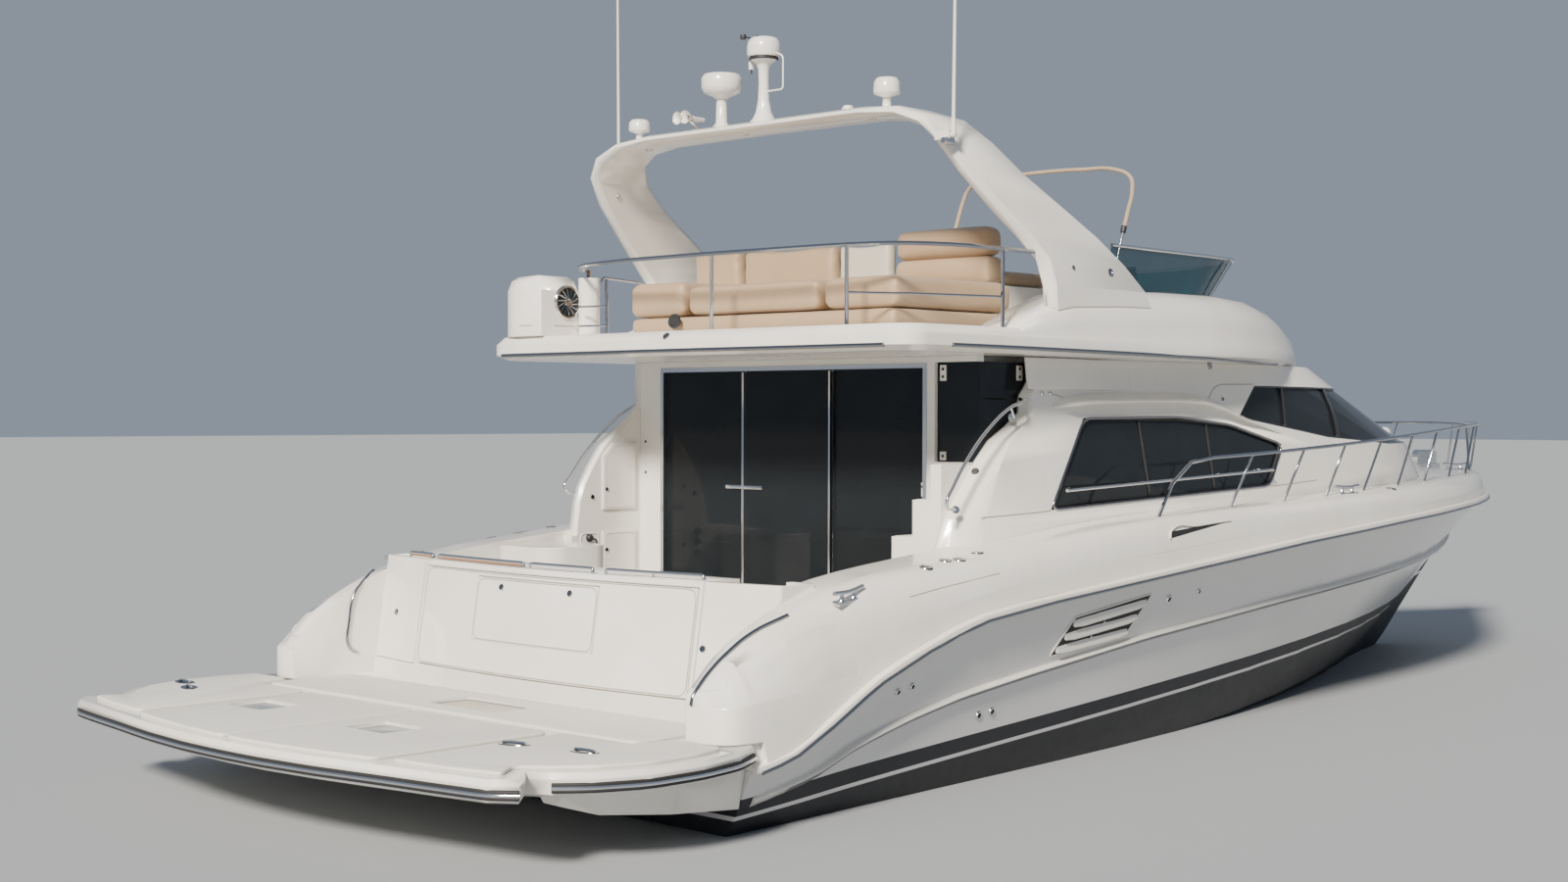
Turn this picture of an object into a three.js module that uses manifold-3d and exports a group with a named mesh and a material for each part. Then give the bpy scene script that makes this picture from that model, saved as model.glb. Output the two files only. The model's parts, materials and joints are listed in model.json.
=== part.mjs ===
import * as THREE from 'three';
import { mergeVertices } from 'three/addons/utils/BufferGeometryUtils.js';
import Module from 'manifold-3d';

// A flybridge motor yacht in millimetres: X forward, Y to port, Z up, waterline at Z = 0.
// The origin is on the centreline at the waterline, at the middle of the overall length.

const wasm = await Module();
wasm.setup();

// Driving dimensions
const gap = 0.3;
const transomX = -6400;
const bowX = 8500;
const soleZ = 1000;
const troughZ = 850;
const bulkheadX = -3440;
const coamingZ = 1450;
const platformTopZ = 580;
const flyFloorZ = 3120;
const flyUnderZ = 2940;
const archTopZ = 4678;
const shaftY = 850;

// Hull sections from the transom to the stem
const hullRows = [
  // x, keelZ, chineY, chineZ, kneeY, kneeZ, railY, railZ
  [-6400, -560, 2090, -110, 2285, 215, 2375, 420],
  [-6100, -590, 2090, -105, 2280, 245, 2385, 475],
  [-5750, -620, 2085, -100, 2272, 305, 2400, 640],
  [-5350, -650, 2075, -95, 2265, 440, 2412, 850],
  [-4850, -690, 2060, -85, 2258, 550, 2422, 1025],
  [-4300, -730, 2040, -75, 2250, 640, 2430, 1170],
  [-3500, -770, 2010, -60, 2240, 725, 2432, 1250],
  [-2000, -810, 1930, -30, 2210, 860, 2430, 1360],
  [0, -830, 1750, 40, 2130, 985, 2410, 1505],
  [2000, -790, 1420, 150, 1960, 1080, 2310, 1610],
  [3500, -660, 1060, 300, 1700, 1150, 2100, 1665],
  [4700, -430, 700, 480, 1320, 1215, 1760, 1690],
  [5700, -120, 400, 700, 900, 1290, 1330, 1700],
  [6500, 400, 190, 880, 540, 1370, 930, 1700],
  [7300, 960, 70, 1180, 230, 1450, 520, 1695],
  [8000, 1400, 25, 1480, 75, 1570, 170, 1690],
  [8400, 1600, 12, 1625, 20, 1650, 40, 1685],
];
const hullStations = [
  -6400, -6250, -6100, -5925, -5750, -5550, -5350, -5100, -4850, -4575, -4300, -3900, -3500, -2750, -2000,
  -1000, 0, 1000, 2000, 2750, 3500, 4100, 4700, 5200, 5700, 6100, 6500, 6900, 7300, 7650, 8000, 8400,
];

// Top edge of the deck moulding
const deckRows = [
  // x, edgeY, topZ
  [-6620, 2110, 860],
  [-6400, 2130, 1060],
  [-6100, 2140, 1225],
  [-5800, 2140, 1345],
  [-5500, 2135, 1425],
  [-5200, 2140, 1475],
  [-4800, 2160, 1520],
  [-4300, 2210, 1560],
  [-3500, 2270, 1635],
  [-2500, 2300, 1725],
  [-1200, 2310, 1785],
  [0, 2290, 1815],
  [1500, 2200, 1860],
  [3000, 2010, 1905],
  [4500, 1660, 1930],
  [6000, 1070, 1925],
  [7200, 500, 1910],
  [8000, 120, 1890],
  [8400, 25, 1870],
];

// Upper body of the flybridge: coaming and brow
const coamingRows = [
  // x, baseY, topY, topZ
  [-3500, 2185, 2120, 3130],
  [-3200, 2190, 2040, 3260],
  [-2800, 2190, 1960, 3390],
  [-2200, 2190, 1930, 3440],
  [-1400, 2190, 1900, 3470],
  [-600, 2160, 1860, 3480],
  [0, 2080, 1740, 3470],
  [500, 1950, 1540, 3430],
  [1000, 1750, 1280, 3340],
  [1500, 1480, 960, 3225],
  [2000, 1080, 600, 3100],
  [2350, 620, 300, 3010],
  [2480, 260, 120, 2975],
];

// Deckhouse plan at four heights
const houseRows = [
  // z, halfWidth, cornerX, frontX
  [1500, 2020, 1560, 5030],
  [2250, 1930, 1100, 4450],
  [2760, 1860, 300, 2950],
  [flyUnderZ - gap, 1840, 0, 2420],
];

// Radar arch, from the starboard foot to the middle
const archRows = [
  // y, z, aftX, foreX, half thickness
  [-2060, 3150, -3050, -1640, 60],
  [-2060, 3440, -3080, -1830, 60],
  [-2045, 3620, -3140, -2090, 60],
  [-2005, 3800, -3340, -2370, 58],
  [-1935, 4000, -3580, -2700, 55],
  [-1870, 4220, -3820, -3090, 52],
  [-1800, 4420, -3980, -3360, 48],
  [-1680, 4560, -4030, -3500, 44],
  [-1450, 4645, -4040, -3580, 38],
  [-1100, 4675, -4040, -3620, 34],
  [0, archTopZ, -4040, -3640, 34],
];

const finish = {
  gelcoat: ['#f1efe9', 0.25, 0],
  steel: ['#c9ccd0', 0.18, 1],
  darkGlass: ['#14181c', 0.08, 0],
  smokeBlue: ['#24506a', 0.1, 0],
  vinyl: ['#c9ad8b', 0.6, 0],
  sleeve: ['#b89a76', 0.8, 0],
  rubber: ['#202326', 0.5, 0],
  bronze: ['#a8824a', 0.35, 1],
  engine: ['#d8dbdd', 0.5, 0.2],
  lidGrey: ['#8e9498', 0.35, 0],
  wood: ['#8a5a35', 0.5, 0],
};

// Turns a three.js geometry into a solid that can be cut and joined
function solid(geometry) {
  const plain = geometry.index ? geometry.clone() : geometry;
  plain.deleteAttribute('normal');
  plain.deleteAttribute('uv');
  const merged = mergeVertices(plain, 1e-3);
  return new wasm.Manifold(new wasm.Mesh({
    numProp: 3,
    vertProperties: new Float32Array(merged.attributes.position.array),
    triVerts: new Uint32Array(merged.index.array),
  }));
}

function geometryOf(body) {
  const mesh = body.getMesh();
  const geometry = new THREE.BufferGeometry();
  geometry.setAttribute('position', new THREE.BufferAttribute(mesh.vertProperties, 3));
  geometry.setIndex(new THREE.BufferAttribute(mesh.triVerts, 1));
  const flat = geometry.toNonIndexed();
  flat.computeVertexNormals();
  return flat;
}

// Reads a table of rows at any place, smoothly and without overshoot
function rowAt(rows, x) {
  const last = rows.length - 1;
  const at = Math.min(Math.max(x, rows[0][0]), rows[last][0]);
  let i = 0;
  while (i < last - 1 && rows[i + 1][0] < at) i += 1;
  const [a, b] = [rows[i], rows[i + 1]];
  const before = rows[Math.max(i - 1, 0)];
  const after = rows[Math.min(i + 2, last)];
  const span = b[0] - a[0];
  const t = (at - a[0]) / span;
  return a.map((from, k) => {
    if (k === 0) return x;
    const slope = (b[k] - from) / span;
    const slopeBefore = a === before ? slope : (from - before[k]) / (a[0] - before[0]);
    const slopeAfter = b === after ? slope : (after[k] - b[k]) / (after[0] - b[0]);
    const startSlope = slope * slopeBefore <= 0 ? 0 : (2 * slope * slopeBefore) / (slope + slopeBefore);
    const endSlope = slope * slopeAfter <= 0 ? 0 : (2 * slope * slopeAfter) / (slope + slopeAfter);
    const t2 = t * t;
    const t3 = t2 * t;
    return (2 * t3 - 3 * t2 + 1) * from + (t3 - 2 * t2 + t) * span * startSlope
      + (3 * t2 - 2 * t3) * b[k] + (t3 - t2) * span * endSlope;
  });
}

// A closed body through rings of points; every ring has the same number of points
function loft(rings, closedRound = false) {
  const count = rings[0].length;
  const points = rings.flat();
  const faces = [];
  const lastRing = closedRound ? rings.length : rings.length - 1;
  for (let i = 0; i < lastRing; i += 1) {
    const next = (i + 1) % rings.length;
    for (let j = 0; j < count; j += 1) {
      const k = (j + 1) % count;
      const [a, b, c, d] = [i * count + j, i * count + k, next * count + k, next * count + j];
      faces.push([a, b, c], [a, c, d]);
    }
  }
  if (!closedRound) {
    capOf(rings[0]).forEach(([a, b, c]) => faces.push([c, b, a]));
    const shift = (rings.length - 1) * count;
    capOf(rings[rings.length - 1]).forEach(([a, b, c]) => faces.push([a + shift, b + shift, c + shift]));
  }
  return facesToSolid(points, faces);
}

// Triangles that fill one flat ring
function capOf(ring) {
  const normal = new THREE.Vector3();
  ring.forEach((p, i) => {
    const q = ring[(i + 1) % ring.length];
    normal.x += (p[1] - q[1]) * (p[2] + q[2]);
    normal.y += (p[2] - q[2]) * (p[0] + q[0]);
    normal.z += (p[0] - q[0]) * (p[1] + q[1]);
  });
  const away = [Math.abs(normal.x), Math.abs(normal.y), Math.abs(normal.z)];
  const drop = away.indexOf(Math.max(...away));
  const [u, v] = [[1, 2], [2, 0], [0, 1]][drop];
  const flat = ring.map((p) => new THREE.Vector2(p[u], p[v]));
  const clockwise = THREE.ShapeUtils.isClockWise(flat);
  const faces = THREE.ShapeUtils.triangulateShape(flat, []);
  const sameWay = faces.map(([a, b, c]) => {
    const area = (flat[b].x - flat[a].x) * (flat[c].y - flat[a].y) - (flat[b].y - flat[a].y) * (flat[c].x - flat[a].x);
    return (area > 0) === !clockwise ? [a, b, c] : [a, c, b];
  });
  return sameWay;
}

function facesToSolid(points, faces) {
  const build = (flip) => {
    const geometry = new THREE.BufferGeometry();
    geometry.setAttribute('position', new THREE.BufferAttribute(new Float32Array(points.flat()), 3));
    geometry.setIndex(faces.flatMap(([a, b, c]) => (flip ? [a, c, b] : [a, b, c])));
    return solid(geometry);
  };
  const body = build(false);
  return body.volume() > 0 ? body : build(true);
}

function box([x0, x1], [y0, y1], [z0, z1]) {
  const geometry = new THREE.BoxGeometry(x1 - x0, y1 - y0, z1 - z0);
  geometry.translate((x0 + x1) / 2, (y0 + y1) / 2, (z0 + z1) / 2);
  return solid(geometry);
}

// A box with its four upright edges rounded
function roundedBox([x0, x1], [y0, y1], [z0, z1], radius, steps = 3) {
  return plate(roundedRectangle([x0, x1], [y0, y1], radius, steps), z0, z1);
}

function roundedRectangle([x0, x1], [y0, y1], radius, steps = 3) {
  const centres = [[x1 - radius, y1 - radius, 0], [x0 + radius, y1 - radius, 90],
    [x0 + radius, y0 + radius, 180], [x1 - radius, y0 + radius, 270]];
  return centres.flatMap(([x, y, start]) => Array.from({ length: steps + 1 }, (_, i) => {
    const angle = THREE.MathUtils.degToRad(start + (90 * i) / steps);
    return [x + radius * Math.cos(angle), y + radius * Math.sin(angle)];
  }));
}

// A flat outline in plan, between two heights
function plate(outline, z0, z1) {
  return loft([z0, z1].map((z) => outline.map(([x, y]) => [x, y, z])));
}

// A flat outline in side view, between two places across the boat
function sidePlate(outline, y0, y1) {
  return loft([y0, y1].map((y) => outline.map(([x, z]) => [x, y, z])));
}

// A flat outline in end view, between two places along the boat
function endPlate(outline, x0, x1) {
  return loft([x0, x1].map((x) => outline.map(([y, z]) => [x, y, z])));
}

function cylinder(from, to, radius, sides = 12, endRadius = radius) {
  const [a, b] = [new THREE.Vector3(...from), new THREE.Vector3(...to)];
  const along = b.clone().sub(a);
  const geometry = new THREE.CylinderGeometry(endRadius, radius, along.length(), sides);
  geometry.applyQuaternion(new THREE.Quaternion().setFromUnitVectors(
    new THREE.Vector3(0, 1, 0), along.clone().normalize(),
  ));
  const middle = a.add(b).multiplyScalar(0.5);
  geometry.translate(middle.x, middle.y, middle.z);
  return solid(geometry);
}

// A turned body about an upright axis
function turned(profile, [x, y, z], sides = 16) {
  const geometry = new THREE.LatheGeometry(profile.map(([r, h]) => new THREE.Vector2(r, h)), sides);
  geometry.rotateX(Math.PI / 2);
  geometry.translate(x, y, z);
  return solid(geometry);
}

// A round bar along a smooth curve
function bar(points, radius, { steps = points.length * 3, sides = 8, tension = 0.5 } = {}) {
  const route = new THREE.CatmullRomCurve3(points.map((p) => new THREE.Vector3(...p)), false, 'centripetal', tension);
  const section = new THREE.Shape(Array.from({ length: sides }, (_, i) => {
    const angle = (2 * Math.PI * i) / sides;
    return new THREE.Vector2(radius * Math.cos(angle), radius * Math.sin(angle));
  }));
  return solid(new THREE.ExtrudeGeometry(section, { steps, extrudePath: route, bevelEnabled: false }));
}

// The main body that is left after a cut, without loose slivers
function mainBody(body) {
  return body.decompose().reduce((best, part) => (part.volume() > best.volume() ? part : best));
}

function joined(bodies) {
  return bodies.reduce((whole, body) => whole.add(body));
}

const mirrorY = (body) => body.mirror([0, 1, 0]);
const bothSides = (body) => body.add(mirrorY(body));
const sides = [['starboard', -1], ['port', 1]];

const yacht = new THREE.Group();

function addPiece(name, body, finishName) {
  const [color, roughness, metalness] = finish[finishName];
  const mesh = new THREE.Mesh(
    geometryOf(body),
    new THREE.MeshStandardMaterial({ color, roughness, metalness }),
  );
  mesh.name = name;
  yacht.add(mesh);
}

// Hull
function hullRing(x) {
  const [, keelZ, chineY, chineZ, kneeY, kneeZ, railY, railZ] = rowAt(hullRows, x);
  const half = [
    [chineY * 0.5, keelZ + (chineZ - keelZ) * 0.5 - 12],
    [chineY, chineZ],
    [(chineY + kneeY) / 2 + 12, (chineZ + kneeZ) / 2],
    [kneeY, kneeZ],
    [kneeY + (railY - kneeY) * 0.45, (kneeZ + railZ) / 2],
    [railY, railZ],
  ];
  return [
    [x, 0, keelZ],
    ...half.map(([y, z]) => [x, y, z]),
    ...half.slice().reverse().map(([y, z]) => [x, -y, z]),
  ];
}
const hullLoft = loft(hullStations.map(hullRing));

// Half width of the hull at one height
function hullHalfWidth(x, z) {
  const half = hullRing(x).slice(0, 7);
  const above = half.findIndex(([, , height]) => height >= z);
  const [low, high] = [half[above - 1], half[above]];
  return low[1] + (high[1] - low[1]) * ((z - low[2]) / (high[2] - low[2]));
}

// The hollow under the cockpit and cabin sole, open upwards
const troughStations = hullStations.filter((x) => x >= -5100 && x <= 2750);
const troughInset = 90;
const troughLoft = loft(troughStations.map((x) => {
  const y = hullHalfWidth(x, troughZ) - troughInset;
  return [[x, -y, troughZ], [x, y, troughZ], [x, y, 2300], [x, -y, 2300]];
}));
const engine = { x: [-3300, -1450], y: [400, 1220], z: [-130, 780], play: 20 };
const engineWells = bothSides(box(
  [engine.x[0] - engine.play, engine.x[1] + engine.play],
  [engine.y[0] - engine.play, engine.y[1] + engine.play],
  [engine.z[0] - gap, 2300],
));
const rudderStock = { x: -6080, seatZ: -425, radius: 28 };
const rudderSeats = bothSides(cylinder([rudderStock.x, shaftY, -300], [rudderStock.x, shaftY, rudderStock.seatZ], 60, 14));
addPiece('hull', hullLoft.subtract(troughLoft).subtract(engineWells).add(rudderSeats), 'gelcoat');
for (const [side, s] of sides) {
  const block = box(engine.x, engine.y, engine.z);
  addPiece(`engine_${side}`, s > 0 ? block : mirrorY(block), 'engine');
}

// Cabin and cockpit sole, over the hollow
const soleInset = troughInset + 2;
const soleLoft = loft(troughStations.map((x, i) => {
  const y = hullHalfWidth(x, troughZ) - soleInset;
  const end = i === 0 ? 1 : i === troughStations.length - 1 ? -2 : 0;
  return [[x + end, -y, troughZ + gap], [x + end, y, troughZ + gap], [x + end, y, soleZ], [x + end, -y, soleZ]];
}));
const panelRise = 4;
const cockpitSole = soleLoft.subtract(box([bulkheadX, 4000], [-3000, 3000], [0, 2000]))
  .add(roundedBox([-5000, -3560], [-1000, 1080], [soleZ - 20, soleZ + panelRise], 60));
const settee = joined([
  box([-2950, -350], [1050, 1780], [soleZ - 1, 1430]),
  box([-2950, -350], [1580, 1780], [1420, 1800]),
]);
const saloonChair = joined([
  box([-2950, -2350], [-1000, -400], [soleZ - 1, 1420]),
  box([-2480, -2350], [-1000, -400], [1400, 1780]),
]);
const innerHelm = sidePlate([[1500, soleZ - 1], [1500, 1700], [1800, 1980], [2500, 1980], [2500, soleZ - 1]], -1250, -300);
addPiece('saloon_interior', joined([
  soleLoft.subtract(box([-9000, bulkheadX + gap], [-3000, 3000], [0, 2000])), settee, saloonChair, innerHelm,
]), 'wood');

// Rub rail from the starboard quarter round the stem to the port quarter
const rail = { out: 48, halfHeight: 30, off: 0.5 };
function railRing(x, side) {
  const [, , , , , , railY, railZ] = rowAt(hullRows, x);
  return [
    [x, side * (railY + rail.off), railZ - rail.halfHeight],
    [x, side * (railY + rail.out), railZ - rail.halfHeight * 0.6],
    [x, side * (railY + rail.out), railZ + rail.halfHeight * 0.6],
    [x, side * (railY + rail.off), railZ + rail.halfHeight],
  ];
}
const stemZ = rowAt(hullRows, 8400)[7];
const stemRing = [
  [8400 + rail.off, 0, stemZ - rail.halfHeight],
  [bowX, 0, stemZ - rail.halfHeight * 0.6],
  [bowX, 0, stemZ + rail.halfHeight * 0.6],
  [8400 + rail.off, 0, stemZ + rail.halfHeight],
];
addPiece('rub_rail', loft([
  ...hullStations.map((x) => railRing(x, -1)),
  stemRing,
  ...hullStations.slice().reverse().map((x) => railRing(x, 1)),
]), 'steel');

// Deck moulding: quarters, side decks, foredeck and the trunk over the fore cabin
const edgeSteps = 5;
const podSeatDepth = 1;
function deckRing(x, onPlatform = false) {
  const [, edgeY, topZ] = rowAt(deckRows, x);
  const hullRow = rowAt(hullRows, x);
  const aft = THREE.MathUtils.clamp((x - transomX) / -220, 0, 1);
  const baseY = hullRow[6] - 190 * aft * aft;
  const baseZ = (onPlatform ? platformTopZ - podSeatDepth : hullRow[7]) + gap;
  const half = Array.from({ length: edgeSteps + 1 }, (_, i) => {
    const angle = (Math.PI / 2) * (i / edgeSteps);
    return [
      edgeY + (baseY - edgeY) * Math.cos(angle) ** 0.8,
      baseZ + (topZ - baseZ) * Math.sin(angle) ** 0.8,
    ];
  });
  const camber = 25;
  return [
    ...half.map(([y, z]) => [x, y, z]),
    [x, 0, topZ + camber * (edgeY / 2300)],
    ...half.slice().reverse().map(([y, z]) => [x, -y, z]),
  ];
}
const deckLoft = loft(hullStations.map((x) => deckRing(x)));
const podInner = 2050;
const podLoft = loft([-6620, -6560, -6480, transomX].map((x) => deckRing(x, true)))
  .subtract(box([-7000, -6300], [-podInner, podInner], [0, 3000]));
const trunkRows = [
  // x, halfWidth, topZ, edgeWidth
  [3100, 1560, 2230, 1400],
  [3900, 1330, 2255, 1120],
  [4700, 1080, 2190, 840],
  [5400, 800, 2090, 560],
  [6000, 470, 1985, 250],
  [6250, 250, 1935, 100],
];
const trunkLoft = loft(trunkRows.map(([x, halfWidth, topZ, edgeWidth]) => {
  const base = 1702;
  const rise = topZ - base;
  const half = [[halfWidth, base], [halfWidth, base + rise * 0.45], [halfWidth * 0.97, base + rise * 0.7],
    [edgeWidth, topZ - 18]];
  return [...half.map(([y, z]) => [x, y, z]), [x, 0, topZ],
    ...half.slice().reverse().map(([y, z]) => [x, -y, z])];
}));

// Cockpit well, transom recess and the space of the saloon
const well = { aft: -5560, fore: -3380, side: 1860 };
const wellCut = box([well.aft, well.fore], [-well.side, well.side], [soleZ, 3000]);
const saloonCut = box([bulkheadX, 2700], [-well.side, well.side], [0, 3000]);
const belowSoleCut = box([-5098, 2700], [-well.side, well.side], [0, soleZ]);

// Transom outline in plan, from the pods in to the convex face
const transomFace = { middleX: -6120, sideX: -5930, halfWidth: podInner, lean: 0.16 };
function transomCurve(inset, z) {
  const lean = (z - platformTopZ) * transomFace.lean;
  return Array.from({ length: 13 }, (_, i) => {
    const y = transomFace.halfWidth * (1 - i / 6);
    const part = y / transomFace.halfWidth;
    const x = transomFace.middleX + (transomFace.sideX - transomFace.middleX) * part * part;
    return [x + inset + lean, y, z];
  });
}
const transomCut = loft([platformTopZ, 1800].map((z) => [
  ...transomCurve(0, z),
  [-7500, -transomFace.halfWidth, z],
  [-7500, transomFace.halfWidth, z],
]));
const transomTop = box([-6300, -5500], [-transomFace.halfWidth, transomFace.halfWidth], [platformTopZ + gap, coamingZ]);
const hatchDepth = 30;
const doorOpening = { y: 1420, z: [700, 1410] };
const hatchRecess = hatchPanel(doorOpening.y, 0, doorOpening.z, -60, 60 + hatchDepth + gap);
const gateOpening = { y: [1450, 2040], sillZ: 690, stepZ: 850 };
const gateCut = bothSides(joined([
  [-6300, -5740, gateOpening.sillZ],
  [-5750, well.aft + 1, gateOpening.stepZ],
].map(([x0, x1, floor]) => box([x0, x1], gateOpening.y, [floor, 3000]))));
const foreHatch = { x: [4720, 5260], y: 270, z: 2120, thick: 36 };
const hatchSeat = box([foreHatch.x[0] - 30, foreHatch.x[1] + 30], [-foreHatch.y - 30, foreHatch.y + 30],
  [foreHatch.z, 2400]);
const deckShell = deckLoft.add(podLoft).add(transomTop.subtract(hullLoft.translate([0, 0, gap])))
  .subtract(transomCut);
const deck = deckShell.add(trunkLoft)
  .subtract(wellCut).subtract(saloonCut).subtract(belowSoleCut)
  .subtract(hatchRecess).subtract(gateCut).subtract(hatchSeat)
  .add(cockpitSole);
addPiece('deck_moulding', deck, 'gelcoat');

// Transom hatch and the small lid in it
const hatch = { y: 1410, z: [712, 1404] };
const lidSkin = 14;
function hatchPanel(halfWidth, middleY, z, inset, depth) {
  const at = (y, height) => {
    const part = y / transomFace.halfWidth;
    return transomFace.middleX + (transomFace.sideX - transomFace.middleX) * part * part
      + (height - platformTopZ) * transomFace.lean;
  };
  const ys = Array.from({ length: 9 }, (_, i) => middleY + halfWidth * (1 - i / 4));
  return loft(z.map((height) => [
    ...ys.map((y) => [at(y, height) + inset, y, height]),
    ...ys.slice().reverse().map((y) => [at(y, height) + inset + depth, y, height]),
  ]));
}
const lidPlace = { halfWidth: 640, middleY: 90, z: [930, 1368] };
const lidClear = 7;
const hatchBody = hatchPanel(hatch.y, 0, hatch.z, 0, hatchDepth).subtract(
  hatchPanel(lidPlace.halfWidth + lidClear, lidPlace.middleY,
    [lidPlace.z[0] - gap, lidPlace.z[1] + lidClear], -20, 20 + lidSkin + gap),
);
addPiece('transom_hatch', hatchBody, 'gelcoat');
addPiece('transom_lid', hatchPanel(lidPlace.halfWidth, lidPlace.middleY, lidPlace.z, 0, lidSkin), 'gelcoat');

// Gates between the platform and the cockpit
const gate = { middleY: 1748.85, halfWidth: 290.85, z: [gateOpening.sillZ + 8, 1450], depth: 50 };
for (const [side, s] of sides) {
  const panel = hatchPanel(gate.halfWidth, gate.middleY, gate.z, 0, gate.depth);
  addPiece(`transom_gate_${side}`, s > 0 ? panel : mirrorY(panel), 'gelcoat');
}

// Swim platform
const platformHalf = [
  [transomX - 1, -2400], [-6650, -2530], [-7000, -2590], [-7400, -2575], [-7700, -2440], [-7860, -2290],
  [-7930, -2160], [-8120, -2340], [-8230, -2200], [-8290, -1850], [-8350, -1450], [-8440, -900], [-8490, -400],
  [-8500, 0],
];
const platformOutline = [
  ...platformHalf,
  ...platformHalf.slice(0, -1).reverse().map(([x, y]) => [x, -y]),
];
const platformRings = [
  // z, share of the outline
  [385, 0.87],
  [430, 0.955],
  [455, 0.99],
  [545, 1],
  [platformTopZ, 0.993],
];
const platformFullX = transomX - 1;
const platformBody = loft(platformRings.map(([z, share]) => platformOutline.map(([x, y]) => [
  platformFullX + (x - platformFullX) * share, y * share, z,
])));
const platformLids = [
  // name, x from, x to, y from, y to, thickness
  ['platform_lid_port', -7705, -7445, 780, 1130, 30],
  ['platform_lid_starboard', -7735, -7475, -600, -250, 30],
  ['transom_foot_lid', -6730, -6430, -400, 260, 34],
];
const lidGap = 6;
const sponsons = bothSides(loft([
  // x, inner y, outer y, low z
  [transomX - 1, 1820, 2330, 180],
  [-7000, 1880, 2380, 240],
  [-7500, 1940, 2330, 300],
  [-7720, 2000, 2220, 370],
].map(([x, inner, outer, low]) => [[x, inner, 430], [x, inner + 60, low], [x, outer - 60, low], [x, outer, 430]])));
let platform = platformBody.add(sponsons);
for (const [name, x0, x1, y0, y1, thick] of platformLids) {
  platform = platform.subtract(roundedBox(
    [x0 - lidGap, x1 + gap], [y0 - lidGap, y1 + lidGap],
    [platformTopZ - thick - gap, platformTopZ + 20], 20,
  ));
  addPiece(name, roundedBox([x0, x1], [y0, y1], [platformTopZ - thick, platformTopZ], 20), 'lidGrey');
}
addPiece('swim_platform', platform.subtract(bothSides(box([-6720, -6300], [transomFace.halfWidth - 6, 2700],
  [platformTopZ - podSeatDepth, platformTopZ + 50]))), 'gelcoat');

// Deckhouse: rings at four heights, hollow, with its windows cut
function housePlan([z, halfWidth, cornerX, frontX], inset, aft = bulkheadX + 60) {
  const w = halfWidth - inset;
  const round = 9;
  const front = Array.from({ length: 2 * round + 1 }, (_, i) => {
    const angle = (Math.PI / 2) * (1 - i / round);
    const c = Math.max(Math.cos(angle), 0);
    return [
      cornerX + (frontX - inset - cornerX) * c ** 0.75,
      w * Math.sign(Math.sin(angle)) * Math.abs(Math.sin(angle)) ** 0.85,
      z,
    ];
  });
  return [[aft, w, z], ...front, [aft, -w, z]];
}
const houseOuter = loft(houseRows.map((row) => housePlan(row, 0)));
const wall = 70;
const wingInner = 1760;
const thickWallX = -2850;
const houseInner = loft([
  [1400, 2030, 1600, 5100], [2250, 1930, 1100, 4450], [2760, 1860, 300, 2950], [2860, 1840, 0, 2620],
].map((row) => housePlan(row, wall, bulkheadX + 45)))
  .subtract(bothSides(box([bulkheadX, thickWallX], [wingInner, 2200], [1300, 3000])));

// Side wings aft of the bulkhead, rounded off at their aft edge
const wingAftX = -4250;
const wingEdges = {
  // z, x of the aft edge
  starboard: [[1400, -4010], [1560, -3990], [1790, -3890], [1920, -3780], [2170, -3560], [2330, -3390],
    [2430, -3200], [2530, -3040], [2650, -3030], [2870, -2830], [2990, -2760]],
  port: [[1400, -4210], [1560, -4190], [1800, -4160], [1940, -4110], [2100, -4010], [2250, -3900],
    [2370, -3760], [2480, -3610], [2590, -3480], [2840, -3480], [2990, -3480]],
};
const wingRound = 230;
function wingClear(side, s) {
  const body = loft(wingEdges[side].map(([z, x]) => [
    [-5000, 1600, z], [x + 25, 1600, z], [x + 25, wingInner, z], [x, wingInner + 30, z],
    ...[0.35, 0.6, 0.8, 1, 1.3].map((t) => [x + wingRound * t * t, wingInner + 30 + 200 * t, z]),
    [x + wingRound * 1.7, 2300, z], [-5000, 2300, z],
  ]));
  return s > 0 ? body : mirrorY(body);
}
const wingClears = joined(sides.map(([side, s]) => wingClear(side, s)));
const houseLong = loft(houseRows.map((row) => housePlan(row, 0, wingAftX)));
const wingOne = box([wingAftX, bulkheadX + 60], [wingInner, 2100], [1500, flyUnderZ - gap]).intersect(houseLong);
const sideWindow = [[-2890, 1825], [-2370, 2490], [-1080, 2500], [-310, 2440], [490, 2270], [220, 1930]];
const foreWindow = [[-140, 2510], [140, 2750], [1700, 2750], [6000, 2750], [6000, 2270], [2600, 2270], [1300, 2340]];
const sideWindowCut = bothSides(sidePlate(sideWindow, 1500, 2300));
const foreWindowCut = sidePlate(foreWindow, -2300, 2300);
const glass = { outer: 22, inner: 34, edge: 0.6 };
const houseAt = (inset) => loft(houseRows.map((row) => housePlan(row, inset)));
const mullions = houseOuter.subtract(houseAt(glass.outer - 2)).intersect(joined([
  bothSides(sidePlate([[560, 2200], [585, 2200], [620, 2800], [595, 2800]], 1500, 2300)),
  bothSides(sidePlate([[1490, 2200], [1535, 2200], [1505, 2800], [1460, 2800]], 1000, 2300)),
  bothSides(box([1500, 5000], [570, 600], [2200, 2800])),
]));
const trunkRoom = joined([[gap, 0], [0, gap], [0, -gap]].map(([dx, dy]) => trunkLoft.translate([dx, dy, gap])));
const deckRaised = deckLoft.add(hullLoft).translate([0, 0, gap]).add(trunkRoom);
const deckBelow = box([2690, 9000], [-3000, 3000], [0, 1900]);
const saloonAir = box([bulkheadX + 60, 2700 - gap], [-well.side + gap, well.side - gap], [0, 1800]);
const wingLiners = bothSides(box([-4225, bulkheadX + 40], [wingInner, well.side - gap], [soleZ + gap, 1700]));
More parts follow.
